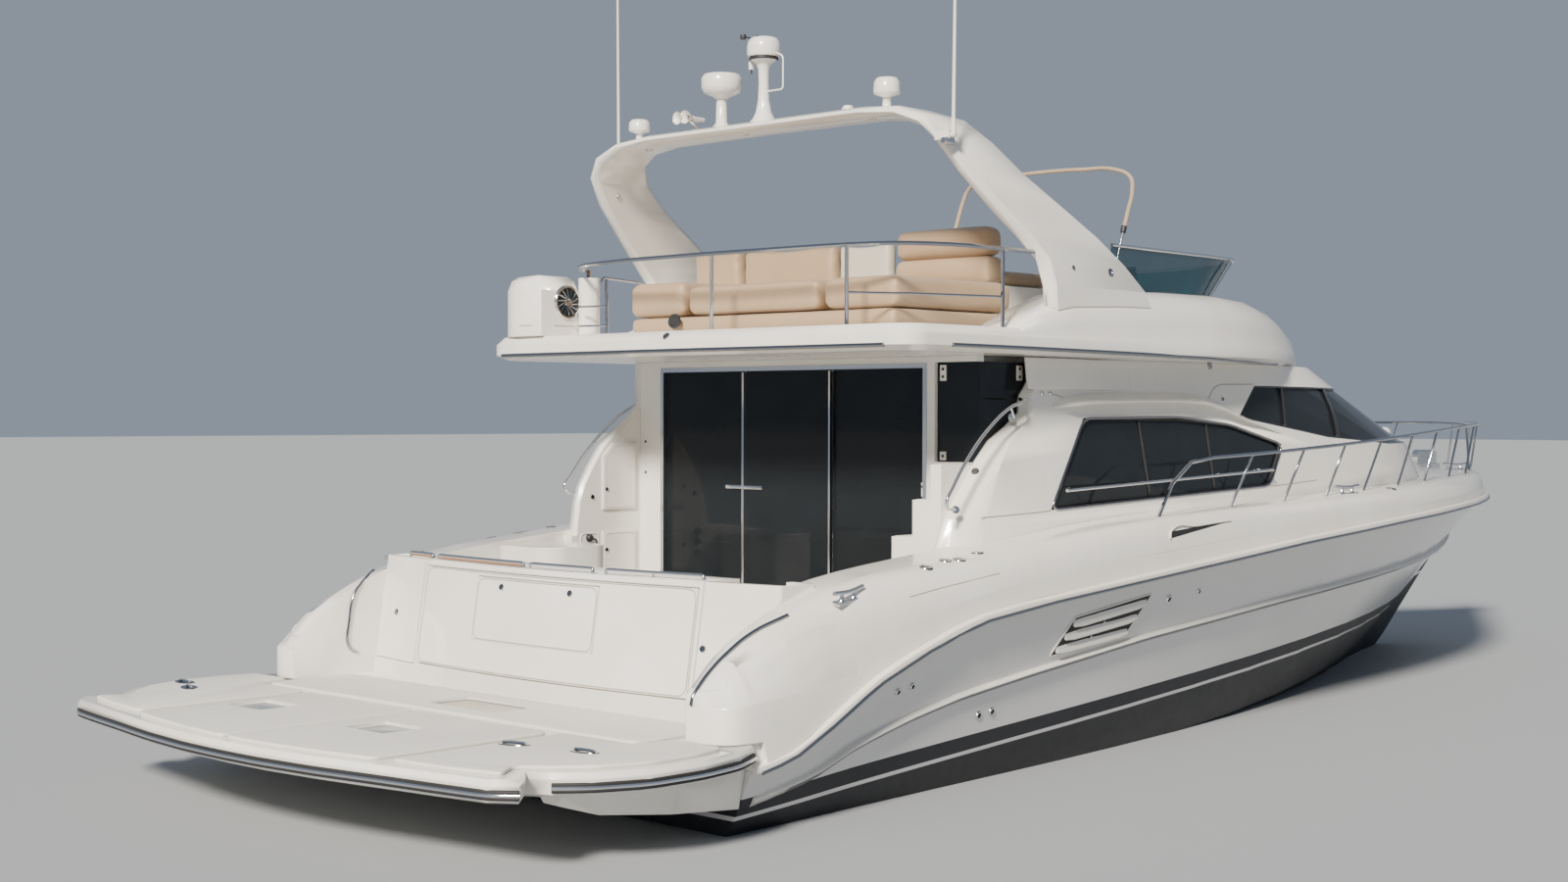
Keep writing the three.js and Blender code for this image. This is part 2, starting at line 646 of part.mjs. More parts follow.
const house = houseOuter.add(bothSides(wingOne))
  .subtract(houseInner)
  .subtract(sideWindowCut).subtract(foreWindowCut)
  .add(mullions)
  .subtract(deckRaised).subtract(deckBelow).subtract(saloonAir)
  .add(wingLiners)
  .subtract(wingClears.trimByPlane([0, 0, 1], 1540));
addPiece('deckhouse', mainBody(house), 'gelcoat');

// Pulls the corners of an outline in a little
function shrunk(outline, by) {
  const middle = outline.reduce(([u, v], [x, z]) => [u + x / outline.length, v + z / outline.length], [0, 0]);
  return outline.map(([x, z]) => {
    const away = Math.hypot(x - middle[0], z - middle[1]);
    const share = (away - by) / away;
    return [middle[0] + (x - middle[0]) * share, middle[1] + (z - middle[1]) * share];
  });
}
const glassShell = houseAt(glass.outer).subtract(houseAt(glass.inner));
const sidePane = glassShell.intersect(sidePlate(shrunk(sideWindow, glass.edge), 1500, 2300));
addPiece('side_window_port', sidePane, 'darkGlass');
addPiece('side_window_starboard', mirrorY(sidePane), 'darkGlass');
addPiece('windscreen', glassShell.intersect(sidePlate(shrunk(foreWindow, glass.edge), -2300, 2300)), 'darkGlass');

// Aft bulkhead with the doorway and the fixed window
const doorway = { y: [-1300, 1510], top: 2890 };
const aftWindow = { y: [-wingInner - 20, -1375], z: [2175, 2895], returnX: -2900, thick: 16 };
const bulkheadBody = box([bulkheadX - 40, bulkheadX + 40], [-wingInner + gap, wingInner - gap],
  [soleZ + gap, flyUnderZ - gap])
  .subtract(box([bulkheadX - 100, bulkheadX + 100], doorway.y, [0, doorway.top]))
  .subtract(box([bulkheadX - 100, bulkheadX + 100], aftWindow.y, aftWindow.z));
addPiece('aft_bulkhead', bulkheadBody, 'gelcoat');
const paneZ = [aftWindow.z[0] + gap, aftWindow.z[1] - gap];
const paneAftX = bulkheadX - aftWindow.thick / 2;
addPiece('aft_window', box([paneAftX, bulkheadX + aftWindow.thick / 2], [-wingInner + gap, aftWindow.y[1] - gap], paneZ)
  .add(box([paneAftX, aftWindow.returnX], [-wingInner + gap, -wingInner + gap + aftWindow.thick], paneZ)), 'darkGlass');
const doorTop = doorway.top - gap;
const frameBar = 34;
addPiece('door_frame', box([bulkheadX - 45, bulkheadX + 45], [doorway.y[0] + gap, doorway.y[1] - gap],
  [soleZ + gap, doorTop]).subtract(box([bulkheadX - 100, bulkheadX + 100],
  [doorway.y[0] + frameBar, doorway.y[1] - frameBar], [soleZ + 20, doorTop - frameBar])), 'steel');
const doorPanels = [
  // name, y from, y to, x of its middle
  ['door_panel_port', 570, doorway.y[1] - frameBar, bulkheadX + 18],
  ['door_panel_starboard', doorway.y[0] + frameBar, -320, bulkheadX + 18],
  ['sliding_door', -345, 595, bulkheadX - 18],
];
for (const [name, y0, y1, x] of doorPanels) {
  const [low, high] = [soleZ + 20 + gap, doorTop - frameBar - gap];
  const play = name === 'sliding_door' ? 6 : 0;
  addPiece(name, box([x - 9, x + 9], [y0 + gap, y1 - gap], [low, high - play]), 'darkGlass');
}

// Moulded steps, cockpit seat and the cabinet doors in the port wing
const steps = [
  // y from, y to, top
  [-1310, -1090, 1390],
  [-1500, -1310, 1650],
  [-1660, -1500, 1915],
  [-1758, -1660, 2165],
];
addPiece('cockpit_steps', joined(steps.map(([y0, y1, top]) => box([-3880, bulkheadX - 50], [y0, y1],
  [soleZ + gap, top]))), 'gelcoat');
addPiece('cockpit_seat', roundedBox([-4980, -4320], [1150, 1855], [soleZ + gap, 1500], 180, 4), 'gelcoat');
const cabinetDoors = [
  // name, outline in x and z
  ['cabinet_door_upper', [[-3900, 1740], [-3540, 1740], [-3540, 2280], [-3790, 2280], [-3900, 2170]]],
  ['cabinet_door_lower', [[-3900, 1210], [-3540, 1210], [-3540, 1565], [-3900, 1565]]],
];
for (const [name, outline] of cabinetDoors) {
  addPiece(name, sidePlate(outline, wingInner - 16 - gap, wingInner - gap), 'gelcoat');
}

// Flybridge: overhang, coaming, brow and the well for the crew
const flyEdge = { aft: -4800, cornerX: -4550, cornerRadius: 200, side: 2190 };
function flyOutline(inset, z) {
  const sideRows = coamingRows.filter(([x]) => x >= -1400).map(([x, baseY]) => [x, baseY]);
  const corner = Array.from({ length: 6 }, (_, i) => {
    const angle = (Math.PI / 2) * (i / 5);
    return [
      flyEdge.cornerX - flyEdge.cornerRadius * Math.cos(angle),
      flyEdge.side + flyEdge.cornerRadius * (Math.sin(angle) - 1),
    ];
  });
  const half = [[flyEdge.aft, 0], [flyEdge.aft + 30, 900], ...corner, [-3000, flyEdge.side], ...sideRows];
  const shape = half.map(([x, y]) => {
    const inX = x < -4300 ? inset : x > 1500 ? -inset : 0;
    return [x + inX, Math.max(y - (y > 600 ? inset : 0), 0), z];
  });
  return [...shape, ...shape.slice(1).reverse().map(([x, y]) => [x, -y, z])];
}
const flySlab = loft([
  flyOutline(70, flyUnderZ), flyOutline(0, flyUnderZ + 35), flyOutline(0, flyFloorZ - 60), flyOutline(45, flyFloorZ),
]);
const coamingLoft = loft(coamingRows.map(([x, baseY, topY, topZ]) => {
  const base = flyFloorZ - 110;
  const half = Array.from({ length: 6 }, (_, i) => {
    const angle = (Math.PI / 2) * (i / 5);
    return [topY + (baseY - 6 - topY) * Math.cos(angle) ** 1.1, base + (topZ - base) * Math.sin(angle) ** 0.75];
  });
  const crown = 40 * (topY / 1900);
  return [...half.map(([y, z]) => [x, y, z]), [x, 0, topZ + crown], ...half.slice().reverse().map(([y, z]) => [x, -y, z])];
}));
const flyWell = { foreX: -750, side: 1790 };
const flyWellCut = box([-5200, flyWell.foreX], [-flyWell.side, flyWell.side], [flyFloorZ, 4000]);
const flyPanel = roundedBox([-2110, -1060], [-1700, 1700], [flyFloorZ - 20, flyFloorZ + panelRise], 60);
const bow = { footX: -590, footY: 920, footZ: 3560, radius: 20 };
const bowPads = bothSides(box([bow.footX - 40, bow.footX + 40], [bow.footY - 40, bow.footY + 40],
  [3300, bow.footZ - bow.radius - gap]));
const flybridge = flySlab.add(coamingLoft).subtract(flyWellCut).add(bowPads).add(flyPanel)
  .subtract(house.translate([0, 0, gap]));
addPiece('flybridge', flybridge, 'gelcoat');

// Radar arch, standing on the coaming
function archSection([y, z, aftX, foreX, half], before, after) {
  const along = new THREE.Vector2(after[0] - before[0], after[1] - before[1]).normalize();
  const out = [along.y, -along.x];
  const taper = 0.35;
  const corner = (x, side) => [x, y + side * half * out[0], z + side * half * out[1]];
  const round = 60;
  return [
    corner(aftX, -taper), corner(aftX + round, -1), corner(foreX - round, -1), corner(foreX, -taper),
    corner(foreX, taper), corner(foreX - round, 1), corner(aftX + round, 1), corner(aftX, taper),
  ];
}
const archAll = [
  ...archRows,
  ...archRows.slice(0, -1).reverse().map(([y, ...rest]) => [-y, ...rest]),
];
const archLoft = loft(archAll.map((row, i) => archSection(
  row, archAll[Math.max(i - 1, 0)], archAll[Math.min(i + 1, archAll.length - 1)],
)));
const aerialFoot = { y: 1925, z: 4440, radius: 20, width: 40 };
const aerialFeet = [
  // side, x, direction of y
  ['starboard', -3960, -1],
  ['port', -3570, 1],
];
const archBrackets = joined(aerialFeet.map(([, x, s]) => {
  const block = box([x - 30, x + 30], [1780, aerialFoot.y - aerialFoot.width / 2 - gap],
    [aerialFoot.z - 30, aerialFoot.z + 30]);
  return s > 0 ? block : mirrorY(block);
}));
addPiece('radar_arch', archLoft.add(archBrackets).subtract(flybridge.translate([0, 0, gap])), 'gelcoat');

// On the arch: radar, mast, domes and whip aerials
const onArch = archTopZ + 20;
const archRaised = archLoft.translate([0, 0, gap]);
const radarPlace = [-3840, 450, onArch];
addPiece('radar', turned([[0, 0], [90, 0], [70, 30], [45, 60], [40, 240], [70, 262], [140, 290], [158, 330],
  [158, 400], [140, 430], [0, 440]], radarPlace, 16).subtract(archRaised), 'gelcoat');
const mastPlace = [-3840, 0, onArch];
addPiece('mast', turned([[0, 0], [105, 0], [75, 50], [45, 180], [42, 400], [110, 415], [125, 440], [128, 600],
  [105, 650], [0, 665]], mastPlace, 16).subtract(archRaised), 'gelcoat');
const domes = [
  // name, x, y, radius, height
  ['dome_port', -3840, 1380, 88, 190],
  ['dome_starboard', -3840, -1220, 98, 240],
];
for (const [name, x, y, radius, height] of domes) {
  const z = archTopZ + 8;
  addPiece(name, turned([[0, 0], [radius * 0.55, 0], [radius * 0.35, 20], [radius * 0.3, height * 0.4],
    [radius * 0.95, height * 0.48], [radius, height * 0.55], [radius * 0.96, height * 0.85],
    [radius * 0.75, height * 0.97], [0, height]], [x, y, z], 14).subtract(archRaised), 'gelcoat');
}
const aerial = { length: 2680, baseRadius: 14, tipRadius: 5 };
for (const [side, x, s] of aerialFeet) {
  const { y, z, radius, width } = aerialFoot;
  addPiece(`aerial_${side}`, joined([
    cylinder([x, s * (y - width / 2), z], [x, s * (y + width / 2), z], radius, 12),
    cylinder([x, s * y, z], [x, s * y, z + 110], 20, 10, 16),
    cylinder([x, s * y, z + 100], [x, s * (y + 30), z + aerial.length], aerial.baseRadius, 8, aerial.tipRadius),
  ]), 'gelcoat');
}

// Rails of the flybridge
const flyRail = { radius: 17, topZ: 3660 };
const flyRailLine = [[-3120, -2040, 3672], [-3550, -2040, 3675], [-4150, -2015, 3670], [-4500, -1870, 3665],
  [-4650, -1560, 3662], [-4685, -900, 3662], [-4690, 0, 3665], [-4670, 700, 3662], [-4560, 1260, 3655],
  [-4420, 1430, 3645], [-4300, 1465, 3640]];
const flyPosts = [
  // x, y
  [-4687, -300],
  [-4650, -1560],
  [-3550, -2040],
];
const liftPost = { x: -4300, y: 1465, topZ: 3585, radius: 85 };
addPiece('flybridge_rail', joined([
  bar(flyRailLine, flyRail.radius, { steps: 34, sides: 6 }),
  ...flyPosts.map(([x, y]) => cylinder([x, y, flyFloorZ + gap], [x, y, flyRail.topZ + 8], 15, 6)),
  cylinder([liftPost.x, liftPost.y, liftPost.topZ + gap], [liftPost.x, liftPost.y, flyRail.topZ - 10], 20, 8),
]).subtract(archLoft.translate([-gap, 0, 0])), 'steel');

// Smoked wind screen round the front of the flybridge
function screenLine(inset, [z, halfWidth, cornerX, frontX]) {
  const w = halfWidth - inset;
  const curve = Array.from({ length: 13 }, (_, i) => {
    const angle = (Math.PI / 2) * (1 - i / 6);
    const c = Math.max(Math.cos(angle), 0);
    return [cornerX + (frontX - inset - cornerX) * c ** 0.8, w * Math.sign(Math.sin(angle)) * Math.abs(Math.sin(angle)) ** 0.9, z];
  });
  return [[-1900, w + 70, z], [-1330, w + 40, z], ...curve, [-1330, -w - 40, z], [-1900, -w - 70, z]];
}
const screenLevels = [
  // z, half width, corner x, front x
  [3455, 1700, -600, 430],
  [3810, 1755, -350, 820],
];
const screenSolid = loft(screenLevels.map((row) => [...screenLine(0, row), ...screenLine(9, row).reverse()]));
addPiece('wind_screen', screenSolid.subtract(flybridge.translate([0, 0, gap])).subtract(archLoft.translate([-gap, 0, 0])),
  'smokeBlue');

// Helm: console, wheel and seat
const helmY = -820;
const consoleSide = [[-1010, flyFloorZ + gap], [-1010, 3440], [-900, 3700], [-710, 3740], [-650, 3520],
  [flyWell.foreX - gap, 3520], [flyWell.foreX - gap, flyFloorZ + gap]];
const wheel = { centre: [-1090, helmY, 3560], radius: 185, tube: 13, tilt: 25 };
const wheelAxis = new THREE.Vector3(-Math.cos(THREE.MathUtils.degToRad(wheel.tilt)), 0,
  Math.sin(THREE.MathUtils.degToRad(wheel.tilt)));
const hubEnd = (reach) => wheel.centre.map((c, i) => c - wheelAxis.getComponent(i) * reach);
addPiece('helm_console', sidePlate(consoleSide, helmY - 430, helmY + 430)
  .add(cylinder(hubEnd(130), hubEnd(34 + gap), 24, 12)), 'rubber');
function wheelBody() {
  const rim = new THREE.TorusGeometry(wheel.radius, wheel.tube, 8, 24);
  const spokes = [0, 1, 2].map((i) => {
    const angle = (2 * Math.PI * i) / 3 + Math.PI / 2;
    return cylinder([0, 0, 0], [wheel.radius * Math.cos(angle), wheel.radius * Math.sin(angle), 0], 9, 6);
  });
  const upright = joined([solid(rim), ...spokes, cylinder([0, 0, -34], [0, 0, 16], 30, 12)]);
  const turn = new THREE.Matrix4().makeRotationFromQuaternion(
    new THREE.Quaternion().setFromUnitVectors(new THREE.Vector3(0, 0, 1), wheelAxis),
  );
  turn.setPosition(...wheel.centre);
  return upright.transform(turn.elements);
}
addPiece('steering_wheel', wheelBody(), 'rubber');
const helmSeat = { x: [-2700, -2140], y: [-1440, -410] };
addPiece('helm_seat_base', box([helmSeat.x[0] - 240, helmSeat.x[1]], [helmSeat.y[0], 1720], [flyFloorZ + gap, 3480])
  .subtract(box([-2200, -2000], [-380, 1800], [flyFloorZ, 3600])), 'gelcoat');
addPiece('helm_seat', roundedBox([-2690, -2150], [-1430, -420], [3480 + gap, 3600], 60), 'vinyl');
const backs = [
  // name, x from, x to, y from, y to, z from, z to, finish
  ['helm_seat_back', -2935, -2710, -1440, -500, 3480 + gap, 3930, 'vinyl'],
  ['lounge_back_middle', -2935, -2790, -485, 1125, 3480 + gap, 3870, 'vinyl'],
  ['lounge_back_port', -2935, -2790, 1140, 1715, 3480 + gap, 3900, 'vinyl'],
];
for (const [name, x0, x1, y0, y1, z0, z1, look] of backs) {
  addPiece(name, roundedBox([x0, x1], [y0, y1], [z0, z1], 45), look);
}
addPiece('lounge_base', roundedBox([-4320, -2945], [-1700, 1010], [flyFloorZ + gap, 3255], 90), 'vinyl');
const pads = [
  // name, y from, y to, top
  ['lounge_pad_port', 400, 1010, 3520],
  ['lounge_pad_middle', -985, 385, 3480],
  ['lounge_pad_starboard', -1700, -1000, 3480],
];
for (const [name, y0, y1, top] of pads) {
  addPiece(name, roundedBox([-4320, -2945], [y0, y1], [3255 + gap, top], 70), 'vinyl');
}

// Lift housing on the port aft corner
const liftPlan = [[-4380, 1510], [-4380, 2050], [-4560, 2050], [-4660, 2020], [-4730, 1940], [-4750, 1840], [-4750, 1510]];
const liftBody = loft([
  // z, inset of the plan
  [flyFloorZ + gap, 0],
  [3480, 0],
  [3560, 30],
  [3595, 90],
].map(([z, inset]) => shrunk(liftPlan, inset).map(([x, y]) => [x, y, z])));
addPiece('lift_housing', joined([
  liftBody,
  cylinder([liftPost.x, liftPost.y, flyFloorZ + gap], [liftPost.x, liftPost.y, liftPost.topZ], liftPost.radius, 16),
  box([-4400, liftPost.x], [1515, 1540], [flyFloorZ + gap, 3420]),
]), 'gelcoat');

// Awning bow, folding aft on its feet
const bowHalf = [[bow.footX, -bow.footY, bow.footZ], [-440, -925, 4000], [-270, -920, 4430], [-240, -880, 4560],
  [-270, -760, 4620], [-280, -400, 4650]];
addPiece('awning_bow', joined([
  bar([...bowHalf, [-280, 0, 4660], ...bowHalf.slice().reverse().map(([x, y, z]) => [x, -y, z])], 17,
    { steps: 40, sides: 8 }),
  ...[-1, 1].map((side) => cylinder([bow.footX, side * bow.footY - 25, bow.footZ],
    [bow.footX, side * bow.footY + 25, bow.footZ], bow.radius, 12)),
]), 'sleeve');

// Bow rail: two levels on leaning posts
const railPosts = [
  // x of the foot, share of the lean
  [-920, 1], [-70, 1], [690, 1], [1450, 1], [2250, 0.9], [3000, 0.8], [3900, 0.7], [4900, 0.6], [6000, 0.5],
  [7100, 0.4], [7900, 0.3],
];
const railHeight = (x) => 400 + 130 * THREE.MathUtils.clamp((x + 1500) / 9000, 0, 1);
function railFoot(x, side) {
  const [, edgeY, topZ] = rowAt(deckRows, x);
  return [x, side * (edgeY - 30), topZ + 4];
}
function railHead(x, side, share = 1, lean = 1) {
  const [fx, fy, fz] = railFoot(x, side);
  return [fx + 330 * lean * share, fy * (fx > 7000 ? 0.8 : 1), fz + railHeight(x) * share];
}
const railLine = (share) => [
  ...railPosts.map(([x, lean]) => railHead(x, -1, share, lean)),
  [8330, 0, 2390],
  ...railPosts.slice().reverse().map(([x, lean]) => railHead(x, 1, share, lean)),
];
const aftEnd = (side) => [[-1930, side * 2270, 1750], [-1760, side * 2275, 1990], [-1560, side * 2275, 2135]];
const topLine = [...aftEnd(-1), ...railLine(1), ...aftEnd(1).reverse()];
addPiece('bow_rail', joined([
  bar(topLine, 15, { steps: 70, sides: 6 }),
  ...railPosts.flatMap(([x, lean]) => [-1, 1].map((side) => cylinder(railFoot(x, side), railHead(x, side, 1, lean), 12, 6))),
]).subtract(deckShell.translate([0, 0, gap])), 'steel');

// Foredeck: hatch on the trunk and the windlass
addPiece('fore_hatch', roundedBox(foreHatch.x, [-foreHatch.y, foreHatch.y],
  [foreHatch.z + gap, foreHatch.z + foreHatch.thick], 60), 'darkGlass');
addPiece('windlass', joined([
  roundedBox([7000, 7260], [-110, 110], [1890, 1975], 40),
  cylinder([7130, -60, 2060], [7130, 150, 2060], 70, 14),
  box([7040, 7220], [-70, 70], [1970, 2110]),
]).subtract(deckShell.translate([0, 0, gap])), 'steel');

// Running gear under the hull
const hullLow = hullLoft.translate([0, 0, -gap]);
const gear = { hubX: -5560, hubZ: -840, startX: -3300, slope: 0.19, propRadius: 320 };
const shaftZ = (x) => gear.hubZ + (x - gear.hubX) * gear.slope;
const shaftUnit = new THREE.Vector3(1, 0, gear.slope).normalize();
const bladeRows = [
  // radius, half chord, pitch angle in degrees, half thickness
  [40, 60, 58, 16],
  [100, 95, 50, 13],
  [160, 120, 42, 11],
  [220, 128, 35, 9],
  [275, 100, 30, 7],
  [gear.propRadius, 45, 26, 5],
];
function bladeAt(turn) {
  const stations = Array.from({ length: 8 }, (_, i) => gear.propRadius * ((i + 1) / 8));
  const body = loft(stations.map((radius) => {
    const [, chord, pitch, thick] = rowAt(bladeRows, radius);
    const a = THREE.MathUtils.degToRad(pitch);
    return Array.from({ length: 8 }, (_, i) => {
      const [u, v] = [chord * Math.cos((Math.PI * i) / 4), thick * Math.sin((Math.PI * i) / 4)];
      return [u * Math.sin(a) - v * Math.cos(a), u * Math.cos(a) + v * Math.sin(a), radius];
    });
  }));
  return body.rotate([turn, 0, 0]);
}
for (const [side, s] of sides) {
  const levelScrew = joined([
    cylinder([-90, 0, 0], [90, 0, 0], 55, 14, 48),
    ...[0, 90, 180, 270].map(bladeAt),
  ]);
  const tiltDegrees = THREE.MathUtils.radToDeg(Math.atan(gear.slope));
  const screw = levelScrew.rotate([0, -tiltDegrees, 0]).translate([gear.hubX, s * shaftY, gear.hubZ]);
  addPiece(`propeller_${side}`, screw, 'bronze');
  const aftEndX = gear.hubX + 90 * shaftUnit.x + gap;
  const tail = [aftEndX, s * shaftY, shaftZ(aftEndX)];
  const head = [gear.startX, s * shaftY, shaftZ(gear.startX)];
  const bracketX = aftEndX + 130;
  const strut = sidePlate([[bracketX - 60, shaftZ(bracketX)], [bracketX + 70, shaftZ(bracketX)],
    [bracketX + 160, -300], [bracketX + 20, -300]], s * shaftY - 14, s * shaftY + 14);
  const barrelEnd = [bracketX + 90, s * shaftY, shaftZ(bracketX + 90)];
  const barrelStart = [bracketX - 90, s * shaftY, shaftZ(bracketX - 90)];
  addPiece(`shaft_${side}`, joined([
    cylinder(tail, head, 32, 12), cylinder(barrelStart, barrelEnd, 52, 12), strut,
  ]).subtract(hullLow), 'bronze');
  const blade = loft([-500, -1120].map((z, i) => {
    const [fore, aft] = i === 0 ? [-5960, -6310] : [-6000, -6260];
    const thick = i === 0 ? 26 : 16;
    return [[fore, s * shaftY, z], [fore - 80, s * shaftY + thick, z], [aft, s * shaftY + 5, z],
      [aft, s * shaftY - 5, z], [fore - 80, s * shaftY - thick, z]];
  }));
  const stock = cylinder([rudderStock.x, s * shaftY, -520], [rudderStock.x, s * shaftY, rudderStock.seatZ - gap],
    rudderStock.radius, 10);
  addPiece(`rudder_${side}`, blade.add(stock), 'bronze');
}

export default yacht;
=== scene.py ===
import json
import math

import bpy
from mathutils import Euler, Matrix, Vector
from mathutils.bvhtree import BVHTree


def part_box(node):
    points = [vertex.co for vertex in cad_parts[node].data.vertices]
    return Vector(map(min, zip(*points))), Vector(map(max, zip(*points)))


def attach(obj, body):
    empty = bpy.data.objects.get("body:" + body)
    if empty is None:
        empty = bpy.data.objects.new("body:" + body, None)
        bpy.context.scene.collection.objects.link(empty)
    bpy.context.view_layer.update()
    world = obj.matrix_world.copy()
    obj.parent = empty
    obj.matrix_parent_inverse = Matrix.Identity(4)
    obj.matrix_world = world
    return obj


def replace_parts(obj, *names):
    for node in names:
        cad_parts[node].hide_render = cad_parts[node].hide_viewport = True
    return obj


# A flybridge motor yacht in metres: X forward, Y to port, Z up, the waterline at Z = 0

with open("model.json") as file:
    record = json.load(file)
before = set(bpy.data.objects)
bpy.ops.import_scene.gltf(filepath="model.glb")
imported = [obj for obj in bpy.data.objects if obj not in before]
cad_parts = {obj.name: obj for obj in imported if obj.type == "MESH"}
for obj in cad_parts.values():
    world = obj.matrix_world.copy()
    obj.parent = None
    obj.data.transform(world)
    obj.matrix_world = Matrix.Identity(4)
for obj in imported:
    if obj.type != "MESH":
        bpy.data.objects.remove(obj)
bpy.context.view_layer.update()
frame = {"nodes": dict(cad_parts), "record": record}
print("stage: frame loaded")

view = {
    "place": (-15.02, -10.76, 2.509),
    "heading": 43.32,      # degrees from the bow towards port
    "down": 0.718,
    "roll": 0.11,
    "lens": 47.09,         # mm on a 36 mm wide sensor
}


def addObject(name, data):
    made = bpy.data.objects.new(name, data)
    bpy.context.scene.collection.objects.link(made)
    return made


def addCamera():
    data = bpy.data.cameras.new("camera")
    data.sensor_width = 36
    data.lens = view["lens"]
    data.clip_end = 300
    camera = addObject("camera", data)
    look = Euler((math.radians(90 - view["down"]), 0, math.radians(view["heading"] - 90))).to_matrix()
    look = look @ Matrix.Rotation(math.radians(view["roll"]), 3, "Z")
    camera.matrix_world = Matrix.Translation(view["place"]) @ look.to_4x4()
    bpy.context.scene.camera = camera


addCamera()

# Light: a warm sun behind the camera, a little to its left, and a pale sky
light = {
    "sunHeading": (0.78, 0.33, -0.53),
    "sunPower": 8.6,
    "sunSize": 9,
    "sunColor": (1.0, 0.93, 0.83),
    "skyColor": (0.66, 0.77, 0.95),
    "skyPower": 0.40,
    "floorColor": (0.34, 0.355, 0.37),
}


def addLight():
    sun = bpy.data.lights.new("sun", "SUN")
    sun.energy = light["sunPower"]
    sun.angle = math.radians(light["sunSize"])
    sun.color = light["sunColor"]
    lamp = addObject("sun", sun)
    lamp.rotation_euler = Vector(light["sunHeading"]).to_track_quat("-Z", "Y").to_euler()
    world = bpy.data.worlds.new("sky")
    world.use_nodes = True
    back = world.node_tree.nodes["Background"]
    back.inputs["Color"].default_value = (*light["skyColor"], 1)
    back.inputs["Strength"].default_value = light["skyPower"]
    bpy.context.scene.world = world


addLight()


# Shader maths: wraps one socket, so that expressions add Math nodes
class Socket:
    def __init__(self, paint, link):
        self.paint = paint
        self.link = link

    def math(self, operation, *values):
        return self.paint.node("ShaderNodeMath", {"operation": operation}, {
            i: value for i, value in enumerate((self, *values))})

    def __add__(self, other):
        return self.math("ADD", other)

    __radd__ = __add__

    def __sub__(self, other):
        return self.math("SUBTRACT", other)

    def __rsub__(self, other):
        return self.paint.node("ShaderNodeMath", {"operation": "SUBTRACT"}, {0: other, 1: self})

    def __mul__(self, other):
        return self.math("MULTIPLY", other)

    __rmul__ = __mul__

    def __gt__(self, other):
        return self.math("GREATER_THAN", other)

    def __lt__(self, other):
        return self.math("LESS_THAN", other)


class Paint:
    def __init__(self, name):
        self.material = bpy.data.materials.new(name)
        self.material.use_nodes = True
        self.tree = self.material.node_tree
        self.surface = self.tree.nodes["Principled BSDF"]

    def node(self, kind, settings=None, values=None, output=0):
        made = self.tree.nodes.new(kind)
        for key, value in (settings or {}).items():
            if key == "stops":
                ramp = made.color_ramp
                while len(ramp.elements) < len(value):
                    ramp.elements.new(0.5)
                for element, (place, shade) in zip(ramp.elements, value):
                    grey = isinstance(shade, (int, float))
                    element.position = place
                    element.color = (shade, shade, shade, 1) if grey else (*shade, 1)
            else:
                setattr(made, key, value)
        for key, value in (values or {}).items():
            self.feed(made.inputs[key], value)
        return Socket(self, made.outputs[output])

    def feed(self, socket, value):
        if isinstance(value, Socket):
            self.tree.links.new(value.link, socket)
        elif isinstance(value, tuple) and len(value) == 3 and socket.type == "RGBA":
            socket.default_value = (*value, 1)
        else:
            socket.default_value = value

    def set(self, **values):
        names = {"color": "Base Color", "roughness": "Roughness", "metallic": "Metallic",
                 "coat": "Coat Weight", "coatRoughness": "Coat Roughness", "alpha": "Alpha",
                 "normal": "Normal", "specular": "Specular IOR Level", "sheen": "Sheen Weight"}
        for key, value in values.items():
            self.feed(self.surface.inputs[names[key]], value)
        return self.material

    def place(self):
        return self.node("ShaderNodeTexCoord", output="Object")

    def axes(self):
        split = self.node("ShaderNodeSeparateXYZ", {}, {0: self.place()}).link.node
        return [Socket(self, output) for output in split.outputs]

    def noise(self, scale, detail=3.0, roughness=0.5, vector=None):
        return self.node("ShaderNodeTexNoise", {}, {
            "Vector": vector or self.place(), "Scale": scale, "Detail": detail, "Roughness": roughness})

    def mapped(self, scale, turn=(0, 0, 0)):
        return self.node("ShaderNodeMapping", {}, {"Vector": self.place(), "Scale": scale,
                                                   "Rotation": turn})

    def ramp(self, value, stops):
        return self.node("ShaderNodeValToRGB", {"stops": stops}, {"Fac": value})

    def mix(self, share, first, second):
        return self.node("ShaderNodeMix", {"data_type": "RGBA"}, {0: share, 6: first, 7: second}, 2)

    def bump(self, height, distance, strength=1.0, under=None):
        values = {"Height": height, "Distance": distance, "Strength": strength}
        if under is not None:
            values["Normal"] = under
        return self.node("ShaderNodeBump", {}, values)

    def roundEdge(self, radius):
        return self.node("ShaderNodeBevel", {"samples": 4}, {"Radius": radius})


def shaded(color, share):
    return tuple(c * share for c in color)


gelcoatColors = {
    "cream": (0.80, 0.775, 0.72),
    "shade": (0.74, 0.71, 0.645),
    "stain": (0.52, 0.45, 0.35),
}


def gelcoatBase(paint):
    cloud = paint.noise(1.3, 4.0)
    tone = paint.mix(paint.ramp(cloud, [(0.35, 0.0), (0.7, 1.0)]), gelcoatColors["cream"],
                     gelcoatColors["shade"])
    streak = paint.noise(3.0, 6.0, 0.7, paint.mapped((1.6, 1.6, 0.25)))
    dirt = paint.ramp(streak, [(0.60, 0.0), (0.82, 0.22)])
    return paint.mix(dirt, tone, gelcoatColors["stain"])


def gelcoatFinish(paint, color):
    wave = paint.noise(5.0, 2.0)
    rough = paint.noise(9.0, 3.0) * 0.12 + 0.18
    return paint.set(color=color, roughness=rough, coat=0.5, coatRoughness=0.08,
                     normal=paint.bump(wave, 0.0006, 0.5, paint.roundEdge(0.014)))


def gelcoatPaint():
    paint = Paint("gelcoat")
    return gelcoatFinish(paint, gelcoatBase(paint))


